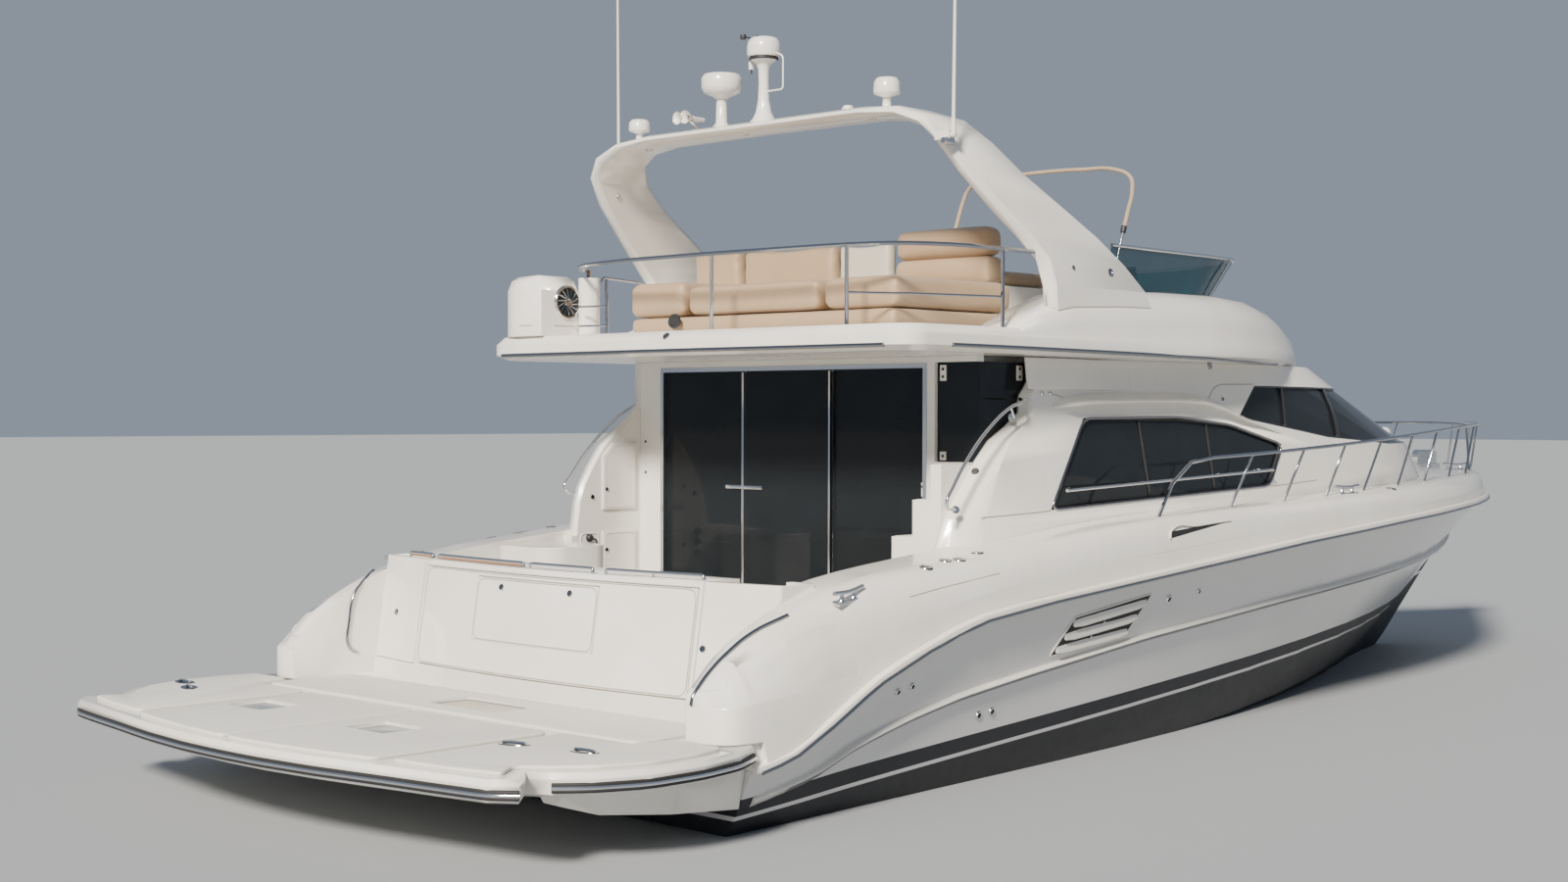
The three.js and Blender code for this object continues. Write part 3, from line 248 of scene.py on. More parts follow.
def hullPaint():
    paint = Paint("hullGelcoat")
    x, _, z = paint.axes()
    # The boot stripe rises a little towards the bow
    level = z - (x + 4.12) * 0.047
    white = paint.mix(0.55, gelcoatBase(paint), (0.50, 0.515, 0.54))
    dark = (0.006, 0.007, 0.012)
    low, high, whiteLine = 0.235, 0.345, 0.028
    stripe = (level > low) * (level < high)
    coloured = paint.mix(stripe, white, dark)
    below = level < low - whiteLine
    waterGrime = paint.ramp(paint.noise(14.0, 5.0), [(0.3, dark), (0.75, (0.014, 0.015, 0.018))])
    coloured = paint.mix(below, coloured, waterGrime)
    rough = paint.noise(9.0, 3.0) * 0.10 + 0.16 + (below + stripe) * 0.35
    wave = paint.noise(2.2, 2.0)
    return paint.set(color=coloured, roughness=rough, coat=0.5 - (below + stripe) * 0.5, coatRoughness=0.06,
                     normal=paint.bump(wave, 0.0012, 0.5, paint.roundEdge(0.012)))


# The posts between the panes of the windscreen and a thin border round them are black
def housePaint():
    paint = Paint("houseGelcoat")
    x, _, z = paint.axes()
    edge = 0.014
    band = (z < 2.75 + edge) * (z > 2.51 - (x + 0.14) * 0.118 - edge) * (z > 2.27 - edge)
    band = band * (z > 2.34 - (x - 1.30) * 0.054 - edge) * (x > (z - 2.51) * 1.167 - 0.14 - edge)
    band = band * (z > 2.2)
    return gelcoatFinish(paint, paint.mix(band, gelcoatBase(paint), (0.012, 0.012, 0.013)))


def nonSkidPaint():
    paint = Paint("nonSkid")
    grid = paint.node("ShaderNodeTexVoronoi", {"feature": "F1", "distance": "CHEBYCHEV"}, {
        "Vector": paint.mapped((60, 60, 60), (0, 0, math.radians(45))), "Scale": 1.0, "Randomness": 0.0})
    height = paint.ramp(grid, [(0.25, 1.0), (0.5, 0.0)])
    tone = paint.mix(paint.noise(2.5, 4.0), (0.71, 0.69, 0.64), (0.63, 0.61, 0.565))
    return paint.set(color=paint.mix(height * 0.25, tone, (0.80, 0.78, 0.74)), roughness=0.55,
                     normal=paint.bump(height, 0.0012, 0.7, paint.roundEdge(0.01)))


def steelPaint(name="steel", color=(0.72, 0.73, 0.75), low=0.08, high=0.2):
    paint = Paint(name)
    haze = paint.noise(30.0, 4.0)
    return paint.set(color=paint.mix(haze, color, shaded(color, 0.86)), metallic=1.0,
                     roughness=haze * (high - low) + low)


def darkGlassPaint(name="darkGlass", alpha=1.0, color=(0.010, 0.012, 0.014)):
    paint = Paint(name)
    smear = paint.noise(4.0, 5.0, 0.6)
    return paint.set(color=paint.mix(smear, color, shaded(color, 1.7)), roughness=smear * 0.05 + 0.02,
                     specular=0.22, alpha=alpha)


def plasticPaint(name, color, rough=0.45, grain=220.0, depth=0.0004):
    paint = Paint(name)
    speck = paint.noise(grain, 3.0)
    tone = paint.noise(3.0, 4.0)
    return paint.set(color=paint.mix(tone, color, shaded(color, 0.8)), roughness=tone * 0.12 + rough,
                     normal=paint.bump(speck, depth, 0.5, paint.roundEdge(0.004)))


def vinylPaint(name, color):
    paint = Paint(name)
    pores = paint.node("ShaderNodeTexVoronoi", {"feature": "DISTANCE_TO_EDGE"}, {
        "Vector": paint.place(), "Scale": 420.0})
    creases = paint.noise(16.0, 5.0, 0.6)
    tone = paint.mix(paint.noise(2.2, 4.0), color, shaded(color, 0.84))
    tone = paint.mix(paint.ramp(creases, [(0.55, 0.0), (0.8, 0.35)]), tone, shaded(color, 0.7))
    fine = paint.bump(paint.ramp(pores, [(0.0, 0.0), (0.12, 1.0)]), 0.0003, 0.5)
    return paint.set(color=tone, roughness=creases * 0.15 + 0.42, sheen=0.15,
                     normal=paint.bump(creases, 0.0016, 0.5, fine))


def clothPaint(name, color):
    paint = Paint(name)
    weave = paint.node("ShaderNodeTexWave", {"wave_type": "BANDS", "bands_direction": "DIAGONAL"}, {
        "Vector": paint.place(), "Scale": 260.0, "Distortion": 1.0})
    tone = paint.mix(paint.noise(6.0, 4.0), color, shaded(color, 0.78))
    return paint.set(color=tone, roughness=0.9, sheen=0.3, normal=paint.bump(weave, 0.0005, 0.6))


def bronzePaint():
    paint = Paint("bronze")
    age = paint.noise(12.0, 5.0, 0.65)
    tone = paint.ramp(age, [(0.35, (0.42, 0.26, 0.11)), (0.7, (0.17, 0.16, 0.10))])
    return paint.set(color=tone, metallic=0.9, roughness=age * 0.3 + 0.25,
                     normal=paint.bump(age, 0.001, 0.3, paint.roundEdge(0.004)))


def woodPaint():
    paint = Paint("wood")
    grain = paint.noise(5.0, 8.0, 0.65, paint.mapped((1.0, 9.0, 9.0)))
    return paint.set(color=paint.ramp(grain, [(0.3, (0.20, 0.09, 0.04)), (0.7, (0.36, 0.19, 0.09))]),
                     roughness=0.35, coat=0.3, normal=paint.bump(grain, 0.0004, 0.4))


def floorPaint():
    paint = Paint("floor")
    return paint.set(color=light["floorColor"], roughness=0.7)


paints = {
    "gelcoat": gelcoatPaint(),
    "hull": hullPaint(),
    "nonSkid": nonSkidPaint(),
    "steel": steelPaint(),
    "darkSteel": steelPaint("darkSteel", (0.30, 0.31, 0.33), 0.10, 0.22),
    "darkGlass": darkGlassPaint(),
    "doorGlass": darkGlassPaint("doorGlass", 0.82),
    "smokeBlue": darkGlassPaint("smokeBlue", 0.62, (0.010, 0.040, 0.058)),
    "house": housePaint(),
    "creamPlastic": plasticPaint("creamPlastic", (0.60, 0.54, 0.44)),
    # Dark grey for the strip under the knuckle strake: painted shade where its shadow falls
    "shadeGrey": plasticPaint("shadeGrey", (0.17, 0.175, 0.185), 0.4),
    # A darker copy of the steel for the rails: the darkness stands in for the dark surroundings they
    # reflect, a painted reflection
    "railSteel": steelPaint("railSteel", (0.42, 0.43, 0.46), 0.06, 0.16),
    "seam": plasticPaint("seamShadow", (0.36, 0.32, 0.27), 0.6, 120.0, 0.0002),
    "lidGrey": plasticPaint("lidGrey", (0.30, 0.325, 0.35), 0.18, 90.0, 0.0002),
    "blackPlastic": plasticPaint("blackPlastic", (0.022, 0.023, 0.026)),
    "rubber": plasticPaint("rubber", (0.014, 0.014, 0.015), 0.6),
    "vinyl": vinylPaint("vinyl", (0.44, 0.305, 0.185)),
    "creamVinyl": vinylPaint("creamVinyl", (0.60, 0.55, 0.45)),
    "sleeve": clothPaint("sleeveCloth", (0.42, 0.31, 0.20)),
    "bronze": bronzePaint(),
    "engine": plasticPaint("enginePaint", (0.62, 0.64, 0.65), 0.35),
    "wood": woodPaint(),
}
print("stage: materials made")

# The slot of each paint that isn't a slot by its own name
slots = {
    "hull": "gelcoat",
    "house": "gelcoat",
    "nonSkid": "gelcoat",
    "seam": "gelcoat",
    "shadeGrey": "gelcoat",
    "darkSteel": "steel",
    "railSteel": "steel",
    "darkGlass": "dark_glass",
    "smokeBlue": "smoked_plastic",
    "blackPlastic": "black_plastic",
    "rubber": "black_plastic",
    "creamVinyl": "vinyl",
    "creamPlastic": "lid_grey",
    "lidGrey": "lid_grey",
}


def deselectAll():
    if bpy.context.mode != "OBJECT":
        bpy.ops.object.mode_set(mode="OBJECT")
    bpy.ops.object.select_all(action="DESELECT")


def pick(piece):
    deselectAll()
    piece.select_set(True)
    bpy.context.view_layer.objects.active = piece


def applyPlace(piece):
    pick(piece)
    bpy.ops.object.transform_apply(location=True, rotation=True, scale=True)


def applyModifiers(piece):
    pick(piece)
    for modifier in list(piece.modifiers):
        bpy.ops.object.modifier_apply(modifier=modifier.name)


# Joins a list of pieces, mirrors what both sides have, then gives name, finish and body
def finishPiece(piece, name, paint, body="boat", angle=40, slot=None, both=False):
    if isinstance(piece, list):
        piece = joinPieces(piece)
    if both:
        piece = bothSides(piece)
    slot = slot or slots.get(paint, paint)
    piece.name = name
    piece.data.name = name
    applyPlace(piece)
    applyModifiers(piece)
    if angle is not None:
        bpy.ops.object.shade_smooth_by_angle(angle=math.radians(angle))
    piece.data.materials.clear()
    piece.data.materials.append(paints[paint])
    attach(piece, body)
    return piece


# Each job is a mesh operator with its settings, run on the whole piece
def reshape(piece, *jobs):
    pick(piece)
    bpy.ops.object.mode_set(mode="EDIT")
    for operator, settings in jobs:
        bpy.ops.mesh.select_all(action="SELECT")
        operator(**settings)
    bpy.ops.object.mode_set(mode="OBJECT")


outwards = (bpy.ops.mesh.normals_make_consistent, {"inside": False})


def mergedCopy(node):
    piece = addObject(node + "Skin", frame["nodes"][node].data.copy())
    reshape(piece, (bpy.ops.mesh.remove_doubles, {"threshold": 0.0002}),
            (bpy.ops.mesh.dissolve_limited, {"angle_limit": math.radians(0.8)}))
    return piece


def blockPiece(low, high, bevel=0.004, segments=2):
    middle = tuple((a + b) / 2 for a, b in zip(low, high))
    size = tuple(b - a for a, b in zip(low, high))
    deselectAll()
    bpy.ops.mesh.primitive_cube_add(size=1, location=middle, scale=size)
    block = bpy.context.object
    applyPlace(block)
    soften(block, bevel, segments)
    return block


def soften(piece, bevel, segments):
    if bevel > 0:
        modifier = piece.modifiers.new("edges", "BEVEL")
        modifier.width = bevel
        modifier.segments = segments
        modifier.angle_limit = math.radians(30)
        modifier.use_clamp_overlap = True
        applyModifiers(piece)


# A flat outline, pushed out to a plate
def platePiece(outline, push, bevel=0.004, segments=2):
    deselectAll()
    bpy.ops.mesh.primitive_circle_add(vertices=len(outline), fill_type="NGON")
    plate = bpy.context.object
    for vertex, point in zip(plate.data.vertices, outline):
        vertex.co = point
    reshape(plate, (bpy.ops.mesh.extrude_region_move, {"TRANSFORM_OT_translate": {"value": push}}),
            outwards)
    soften(plate, bevel, segments)
    return plate


# A profile of radius and height, spun about an axis through its place
def spunPiece(profile, place, axis=(0, 0, 1), steps=24):
    deselectAll()
    bpy.ops.mesh.primitive_circle_add(vertices=len(profile), fill_type="NOTHING")
    piece = bpy.context.object
    for vertex, (radius, height) in zip(piece.data.vertices, profile):
        vertex.co = (radius, 0, height)
    turn = {"steps": steps, "angle": math.tau, "center": (0, 0, 0), "axis": (0, 0, 1)}
    reshape(piece, (bpy.ops.mesh.spin, turn), (bpy.ops.mesh.remove_doubles, {"threshold": 0.00002}),
            outwards)
    piece.rotation_euler = Vector(axis).to_track_quat("Z", "Y").to_euler()
    piece.location = place
    applyPlace(piece)
    return piece


# A round bar through points, made a mesh
def tubePiece(points, radius, smooth=False, closed=False, round=1):
    data = bpy.data.curves.new("tube", "CURVE")
    data.dimensions = "3D"
    data.bevel_depth = radius
    data.bevel_resolution = round
    data.resolution_u = 5
    data.use_fill_caps = True
    line = data.splines.new("BEZIER" if smooth else "POLY")
    if smooth:
        line.bezier_points.add(len(points) - 1)
        for knot, point in zip(line.bezier_points, points):
            knot.co = point
            knot.handle_left_type = knot.handle_right_type = "AUTO"
    else:
        line.points.add(len(points) - 1)
        for knot, point in zip(line.points, points):
            knot.co = (*point, 1)
    line.use_cyclic_u = closed
    pick(addObject("tube", data))
    bpy.ops.object.convert(target="MESH")
    return bpy.context.object


# A round bar closed on itself, its corners eased
def ringPiece(points, corner, radius, round=2):
    return tubePiece(eased(points, corner, closed=True), radius, closed=True, round=round)


# Corners of a line eased into short curves
def eased(points, reach, closed=False):
    steps = 4
    line = [Vector(point) for point in points]
    result = []
    for i, point in enumerate(line):
        if not closed and i in (0, len(line) - 1):
            result.append(point)
            continue
        before, after = line[i - 1], line[(i + 1) % len(line)]
        start = point + (before - point).normalized() * min(reach, (before - point).length * 0.45)
        end = point + (after - point).normalized() * min(reach, (after - point).length * 0.45)
        for k in range(steps + 1):
            t = k / steps
            result.append(start * (1 - t) ** 2 + point * 2 * t * (1 - t) + end * t ** 2)
    return result


def joinPieces(pieces):
    deselectAll()
    for piece in pieces:
        piece.select_set(True)
    bpy.context.view_layer.objects.active = pieces[0]
    bpy.ops.object.join()
    return bpy.context.object


def copyPiece(piece):
    return addObject("copy", piece.data.copy())


def bothSides(piece):
    other = copyPiece(piece)
    other.scale = (1, -1, 1)
    applyPlace(other)
    reshape(other, outwards)
    return joinPieces([piece, other])


# The point where a straight look from outside meets a CAD node
trees = {}


def meet(node, start, along):
    if node not in trees:
        data = frame["nodes"][node].data
        trees[node] = BVHTree.FromPolygons([v.co for v in data.vertices],
                                           [p.vertices for p in data.polygons])
    place, normal, _, _ = trees[node].ray_cast(Vector(start), Vector(along))
    if place is None:
        raise ValueError(f"nothing of {node} from {start}")
    return place, normal


def onSide(node, x, z):
    return meet(node, (x, -8, z), (0, 1, 0))


def onTop(node, x, y):
    return meet(node, (x, y, 8), (0, 0, -1))


def onAft(node, y, z):
    return meet(node, (-12, y, z), (1, 0, 0))


def lineOnSide(node, points, off):
    met = [onSide(node, x, z) for x, z in points]
    return [place + normal * off for place, normal in met]


# Shells: merged, smooth copies of the CAD solids
shells = [
    # node, paint, sharp angle
    ("hull", "hull", 24),
    ("deck_moulding", "gelcoat", 30),
    ("swim_platform", "gelcoat", 40),
    ("deckhouse", "house", 30),
    ("flybridge", "gelcoat", 30),
    ("radar_arch", "gelcoat", 35),
    ("transom_hatch", "gelcoat", 30),
    ("transom_lid", "gelcoat", 30),
    ("transom_gate_starboard", "gelcoat", 30),
    ("transom_gate_port", "gelcoat", 30),
    ("windscreen", "darkGlass", 40),
    ("side_window_port", "darkGlass", 40),
    ("side_window_starboard", "darkGlass", 40),
    ("wind_screen", "smokeBlue", 40),
    ("radar", "gelcoat", 40),
    ("dome_port", "gelcoat", 40),
    ("dome_starboard", "gelcoat", 40),
    ("rub_rail", "gelcoat", 40),
    ("flybridge_rail", "railSteel", 50),
    ("bow_rail", "railSteel", 50),
    ("lift_housing", "gelcoat", 40),
    ("cockpit_seat", "gelcoat", 40),
]

bodyOfNode = {node: body for body, nodes in frame["record"]["behaviour"]["bodies"].items()
              for node in nodes}
for node, paint, angle in shells:
    skin = finishPiece(mergedCopy(node), node + "Skin", paint, bodyOfNode[node], angle)
    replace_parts(skin, node)
print("stage: shells dressed")

# The other CAD solids keep their shape and get a finish
plain = {
    "gelcoat": ["aft_bulkhead", "cockpit_steps", "cabinet_door_upper", "cabinet_door_lower",
                "helm_seat_base", "aerial_starboard", "aerial_port"],
    "engine": ["engine_starboard", "engine_port"],
    "wood": ["saloon_interior"],
    "steel": ["door_frame", "windlass"],
    "darkGlass": ["aft_window", "fore_hatch"],
    "doorGlass": ["door_panel_port", "door_panel_starboard", "sliding_door"],
    "lidGrey": ["platform_lid_port", "platform_lid_starboard", "transom_foot_lid"],
    "blackPlastic": ["helm_console", "steering_wheel"],
    "bronze": ["propeller_starboard", "shaft_starboard", "rudder_starboard", "propeller_port", "shaft_port",
               "rudder_port"],
}
for paint, nodes in plain.items():
    for node in nodes:
        data = frame["nodes"][node].data
        data.materials.clear()
        data.materials.append(paints[paint])
print("stage: CAD finishes set")

# Cushions: blown up a little by a cloth simulation inside the space of their CAD solids
cushion = {
    "voxel": 0.03,
    "swell": 0.022,       # how far a point may move
    "start": 0.007,       # how much smaller the cushion starts
    "pressure": 4.0,
    "stiffness": 12,
    "mass": 0.4,
    "frames": 20,
    "inset": 0.001,       # kept between the cushion and the faces of its box
}
cushions = [
    # name, node, corner from, corner to as shares of the node's box, corner radius, paint
    ("loungeBaseCushion", "lounge_base", (0, 0, 0), (1, 1, 1), 0.025, "vinyl"),
    ("padPortCushion", "lounge_pad_port", (0, 0, 0), (1, 1, 1), 0.045, "vinyl"),
    ("padMiddleCushion", "lounge_pad_middle", (0, 0, 0), (1, 1, 1), 0.045, "vinyl"),
    ("padStarboardCushion", "lounge_pad_starboard", (0, 0, 0), (1, 1, 1), 0.045, "vinyl"),
    ("helmSeatCushion", "helm_seat", (0, 0, 0), (1, 1, 1), 0.035, "vinyl"),
    ("helmBackLowCushion", "helm_seat_back", (0, 0, 0), (1, 1, 0.50), 0.045, "vinyl"),
    ("helmBackHighCushion", "helm_seat_back", (0, 0.01, 0.46), (1, 0.99, 1), 0.06, "vinyl"),
    ("backMiddleCushion", "lounge_back_middle", (0, 0.36, 0), (1, 1, 1), 0.035, "vinyl"),
    ("backCreamCushion", "lounge_back_middle", (0.1, 0, 0), (0.9, 0.355, 0.97), 0.02, "creamVinyl"),
    ("backPortCushion", "lounge_back_port", (0, 0, 0), (1, 1, 1), 0.04, "vinyl"),
]


def startCushion(low, high, radius):
    small = cushion["start"]
    piece = blockPiece([v + small for v in low], [v - small for v in high], radius, 4)
    pick(piece)
    remesh = piece.modifiers.new("remesh", "REMESH")
    remesh.mode = "VOXEL"
    remesh.voxel_size = cushion["voxel"]
    applyModifiers(piece)
    cloth = piece.modifiers.new("cloth", "CLOTH")
    cloth.settings.quality = 5
    cloth.settings.mass = cushion["mass"]
    cloth.settings.tension_stiffness = cushion["stiffness"]
    cloth.settings.compression_stiffness = cushion["stiffness"]
    cloth.settings.use_pressure = True
    cloth.settings.uniform_pressure_force = cushion["pressure"]
    cloth.settings.effector_weights.gravity = 0
    cloth.point_cache.frame_end = cushion["frames"]
    return piece


def settleCushion(piece, before, low, high):
    pick(piece)
    bpy.ops.object.modifier_apply(modifier="cloth")
    for vertex, start in zip(piece.data.vertices, before):
        move = vertex.co - start
        if move.length > cushion["swell"]:
            vertex.co = start + move.normalized() * cushion["swell"]
        for k in range(3):
            vertex.co[k] = min(max(vertex.co[k], low[k] + cushion["inset"]), high[k] - cushion["inset"])
    smooth = piece.modifiers.new("soft", "SMOOTH")
    smooth.factor = 0.5
    smooth.iterations = 3
    finer = piece.modifiers.new("finer", "SUBSURF")
    finer.levels = finer.render_levels = 1
    applyModifiers(piece)


made = []
for name, node, start, end, radius, paint in cushions:
    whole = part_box(node)
    low, high = [[a + (b - a) * t for a, b, t in zip(*whole, shares)] for shares in (start, end)]
    piece = startCushion(low, high, radius)
    made.append((piece, [vertex.co.copy() for vertex in piece.data.vertices], low, high))
for step in range(1, cushion["frames"] + 1):
    bpy.context.scene.frame_set(step)
for (name, node, start, end, radius, paint), (piece, before, low, high) in zip(cushions, made):
    settleCushion(piece, before, low, high)
    finishPiece(piece, name, paint, angle=None)
    bpy.ops.object.shade_smooth()
    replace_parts(piece, node)
bpy.context.scene.frame_set(1)
print("stage: cushions blown up")

# Awning bow: a steel leg each side and a cloth sleeve over the top
awning = {
    "legs": [(-0.59, -0.92, 3.56), (-0.50, -0.924, 3.82), (-0.44, -0.925, 4.0), (-0.405, -0.925, 4.09)],
    "sleeve": [(-0.405, -0.925, 4.09), (-0.34, -0.925, 4.25), (-0.27, -0.92, 4.43), (-0.245, -0.88, 4.55),
               (-0.27, -0.76, 4.615), (-0.28, -0.40, 4.645), (-0.28, 0, 4.655)],
    "legRadius": 0.0125,
    "sleeveRadius": 0.0175,
}
legs = bothSides(tubePiece(awning["legs"], awning["legRadius"], smooth=True, round=3))
feet = bothSides(tubePiece([(-0.59, -0.90, 3.56), (-0.59, -0.94, 3.56)], 0.02, round=3))
finishPiece([legs, feet], "awningLegs", "steel", "awning_bow", angle=50)
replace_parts(bpy.context.object, "awning_bow")
half = awning["sleeve"]
top = half + [(x, -y, z) for x, y, z in reversed(half[:-1])]
finishPiece(tubePiece(top, awning["sleeveRadius"], smooth=True, round=3), "awningSleeve", "sleeve",
            "awning_bow", angle=60)
clamps = bothSides(tubePiece([(-0.418, -0.925, 4.06), (-0.396, -0.925, 4.115)], 0.024, round=3))
finishPiece(clamps, "awningClamps", "blackPlastic", "awning_bow")

# Smoked screen: a steel rail along its top and slim posts
screen = {
    "low": (3.455, 1.700, -0.600, 0.430),     # z, half width, corner x, front x
    "high": (3.810, 1.755, -0.350, 0.820),
    "railRadius": 0.014,
    "postRadius": 0.008,
    "postAngles": (-78, -52, -26, 0, 26, 52, 78),
}


def screenPoint(angle, share):
    z, w, corner, front = [a + (b - a) * share for a, b in zip(screen["low"], screen["high"])]
    turn = math.radians(angle)
    c, side = max(math.cos(turn), 0), math.sin(turn)
    return Vector((corner + (front - corner) * c ** 0.8, math.copysign(w * abs(side) ** 0.9, side), z))


def screenLine(share):
    line = [screenPoint(90 - 15 * i, share) for i in range(13)]
    wing = [(-1.90, line[0].y + 0.07, line[0].z), (-1.33, line[0].y + 0.04, line[0].z)]
    other = [(x, -y, z) for x, y, z in reversed(wing)]
    return [Vector(p) for p in (*wing, *line, *other)]


topRail = tubePiece([p + Vector((0, 0, 0.006)) for p in screenLine(1.0)], screen["railRadius"], round=2)
posts = [tubePiece([screenPoint(a, 0.10) + Vector((0.006, 0, 0)),
                    screenPoint(a, 0.99) + Vector((0.006, 0, 0))], screen["postRadius"], round=2)
         for a in screen["postAngles"]]
finishPiece([topRail, *posts], "screenFrame", "steel", angle=50)
print("stage: awning bow and screen dressed")

# Hull: strake on the knuckle, dark insert of the rub rail, louvres and through-hulls
knuckle = [
    # x, z
    (-6.35, 0.205), (-6.10, 0.245), (-5.75, 0.305), (-5.35, 0.440), (-4.85, 0.550), (-4.30, 0.640),
    (-3.50, 0.725), (-2.00, 0.860), (0.0, 0.985), (2.0, 1.080), (3.5, 1.150), (4.7, 1.215), (5.7, 1.290),
    (6.5, 1.370), (7.3, 1.450),
]
railEdge = [
    # x, z
    (-6.38, 0.42), (-6.10, 0.475), (-5.75, 0.640), (-5.35, 0.850), (-4.85, 1.025), (-4.30, 1.170),
    (-3.50, 1.250), (-2.00, 1.360), (0.0, 1.505), (2.0, 1.610), (3.5, 1.665), (4.7, 1.690), (5.7, 1.700),
    (6.5, 1.700), (7.3, 1.695), (8.0, 1.690), (8.38, 1.686),
]


def between(rows, x):
    for (x0, *a), (x1, *b) in zip(rows, rows[1:]):
        if x <= x1:
            t = (x - x0) / (x1 - x0)
            return [p + (q - p) * t for p, q in zip(a, b)]
    return rows[-1][1:]


def spread(start, end, count):
    return [start + (end - start) * i / count for i in range(count + 1)]


# A strip with a drawn section, swept through its rings
def sweptStrip(rings):
    count = len(rings[0])
    points = [point for ring in rings for point in ring]
    faces = [(i * count + j, i * count + (j + 1) % count, (i + 1) * count + (j + 1) % count,
              (i + 1) * count + j) for i in range(len(rings) - 1) for j in range(count)]
    faces += [tuple(range(count)), tuple((len(rings) - 1) * count + j for j in reversed(range(count)))]
    data = bpy.data.meshes.new("strip")
    data.from_pydata([tuple(p) for p in points], [], faces)
    strip = addObject("strip", data)
    reshape(strip, outwards)
    return strip


strakeSize = {
    "stations": spread(-6.30, 7.20, 90),
    "above": 0.030,       # over the knuckle
    "below": 0.045,
}


def strakeRing(x):
    fade = min(1, (x + 6.5) / 1.2, (7.6 - x) / 1.5)
    z = between(knuckle, x)[0]
    top, _ = onSide("hull", x, z + strakeSize["above"])
    low, _ = onSide("hull", x, z - strakeSize["below"])
    sink = Vector((0, 0.006, 0))
    return [top + sink, top + Vector((0, -0.004 - 0.026 * fade, -0.020)),
            top + Vector((0, -0.004 - 0.030 * fade, -0.032)), low + sink]


strake = sweptStrip([strakeRing(x) for x in strakeSize["stations"]])
finishPiece(strake, "knuckleStrake", "gelcoat", angle=25, both=True)
# A thin dark grey strip under the strake's lip stands in for the shadow below it: painted shade
under = []
for x in strakeSize["stations"][2:-4]:
    _, _, lip, low = strakeRing(x)
    under.append([lip + Vector((0, 0.004, 0.004)), lip * 0.96 + low * 0.04 + Vector((0, -0.004, 0)),
                  lip * 0.2 + low * 0.8 + Vector((0, -0.005, 0)),
                  lip * 0.2 + low * 0.8 + Vector((0, 0.012, 0))])
finishPiece(sweptStrip(under), "knuckleShade", "shadeGrey", angle=25, both=True)

insertLine = []
for x in spread(-6.36, 8.34, 98):
    z = between(railEdge, x)[0]
    insertLine.append(onSide("rub_rail", x, z - 0.012)[0] + Vector((0, -0.003, -0.006)))
finishPiece(tubePiece(insertLine, 0.013, round=2), "rubRailInsert", "darkSteel", both=True)

louvre = {
    "corners": [(-3.30, 0.82), (-3.11, 1.09), (-2.14, 1.20), (-2.34, 0.88)],   # x, z round the opening
    "slats": 3,
    "slatHeight": 0.082,
    # y, share of half the height
    "section": [(0.004, 1), (-0.010, 0.8), (-0.026, -0.5), (-0.020, -1), (0.004, -0.6)],
}


def onHull(points, off):
    return [onSide("hull", x, z)[0] - Vector((0, off, 0)) for x, z in points]


def louvrePoint(u, v):
    (x0, z0), (x1, z1), (x2, z2), (x3, z3) = louvre["corners"]
    return ((x0 * (1 - u) + x3 * u) * (1 - v) + (x1 * (1 - u) + x2 * u) * v,
            (z0 * (1 - u) + z3 * u) * (1 - v) + (z1 * (1 - u) + z2 * u) * v)


edgePoints = [louvrePoint(u, v) for u, v in ((0, 0), (0, 1), (0.25, 1), (0.5, 1), (0.75, 1), (1, 1), (1, 0),
                                              (0.75, 0), (0.5, 0), (0.25, 0))]
ring = ringPiece(onHull(edgePoints, 0.0), 0.035, 0.008)
# A black plate behind the slats stands in for the dark opening between them: painted shade
paintedShadePlate = platePiece(onHull([louvrePoint(u, v) for u, v in ((0.01, 0.03), (0.01, 0.97), (0.5, 0.97),
                                                            (0.99, 0.97), (0.99, 0.03), (0.5, 0.03))],
                            0.004), (0, 0.012, 0), 0)
slats = []
for k in range(louvre["slats"]):
    v = (k + 0.62) / louvre["slats"] - 0.04
    rings = []
    for i in range(9):
        u = 0.03 + 0.94 * i / 8
        x, z = louvrePoint(u, v)
        base = onSide("hull", x, z)[0]
        half = louvre["slatHeight"] * (0.5 if 0 < i < 8 else 0.35)
        rings.append([base + Vector((0, y, half * share)) for y, share in louvre["section"]])
    slats.append(sweptStrip(rings))
posts = [tubePiece(onHull([louvrePoint(u, v0), louvrePoint(u, v1)], 0.012), 0.006)
         for u, v0, v1 in ((0.5, 0.33, 0.62), (0.44, 0.0, 0.30))]
finishPiece([ring, *slats, *posts], "louvreSlats", "gelcoat", both=True)
finishPiece(paintedShadePlate, "louvreShade", "rubber", both=True)

throughHulls = [(-1.86, 1.14, 0.036), (-1.43, 1.17, 0.026), (-5.03, 0.75, 0.026), (-4.88, 0.77, 0.026),
                (-4.02, 0.48, 0.032), (-3.87, 0.49, 0.032)]
# share of the radius, height
rimProfile = [(0.55, 0.004), (0.6, 0.014), (0.85, 0.013), (1, 0.004), (1, -0.004), (0.55, -0.004)]
coreProfile = [(0, 0.005), (0.58, 0.005), (0.58, -0.003), (0, -0.003)]
rims, cores = [], []
for x, z, radius in throughHulls:
    place, normal = onSide("hull", x, z)
    for pieces, profile in ((rims, rimProfile), (cores, coreProfile)):
        pieces.append(spunPiece([(radius * r, height) for r, height in profile], place, normal, 20))
finishPiece(rims, "throughHullRims", "steel", both=True)
finishPiece(cores, "throughHullCores", "rubber", both=True)
print("stage: hull dressed")

# Stern: latches, seams, quarter strips, coaming rails and cleats
latch = {
    "radius": 0.024,
    "lift": 0.010,
    # share of the radius, share of the lift
    "profile": [(0, 0.7), (0.45, 0.75), (0.5, 1), (0.8, 1), (1, 0.3), (1, -0.2), (0, -0.2)],
}


def latchAt(place, normal, radius=latch["radius"]):
    profile = [(radius * r, latch["lift"] * height) for r, height in latch["profile"]]
    return spunPiece(profile, place, normal, 20)


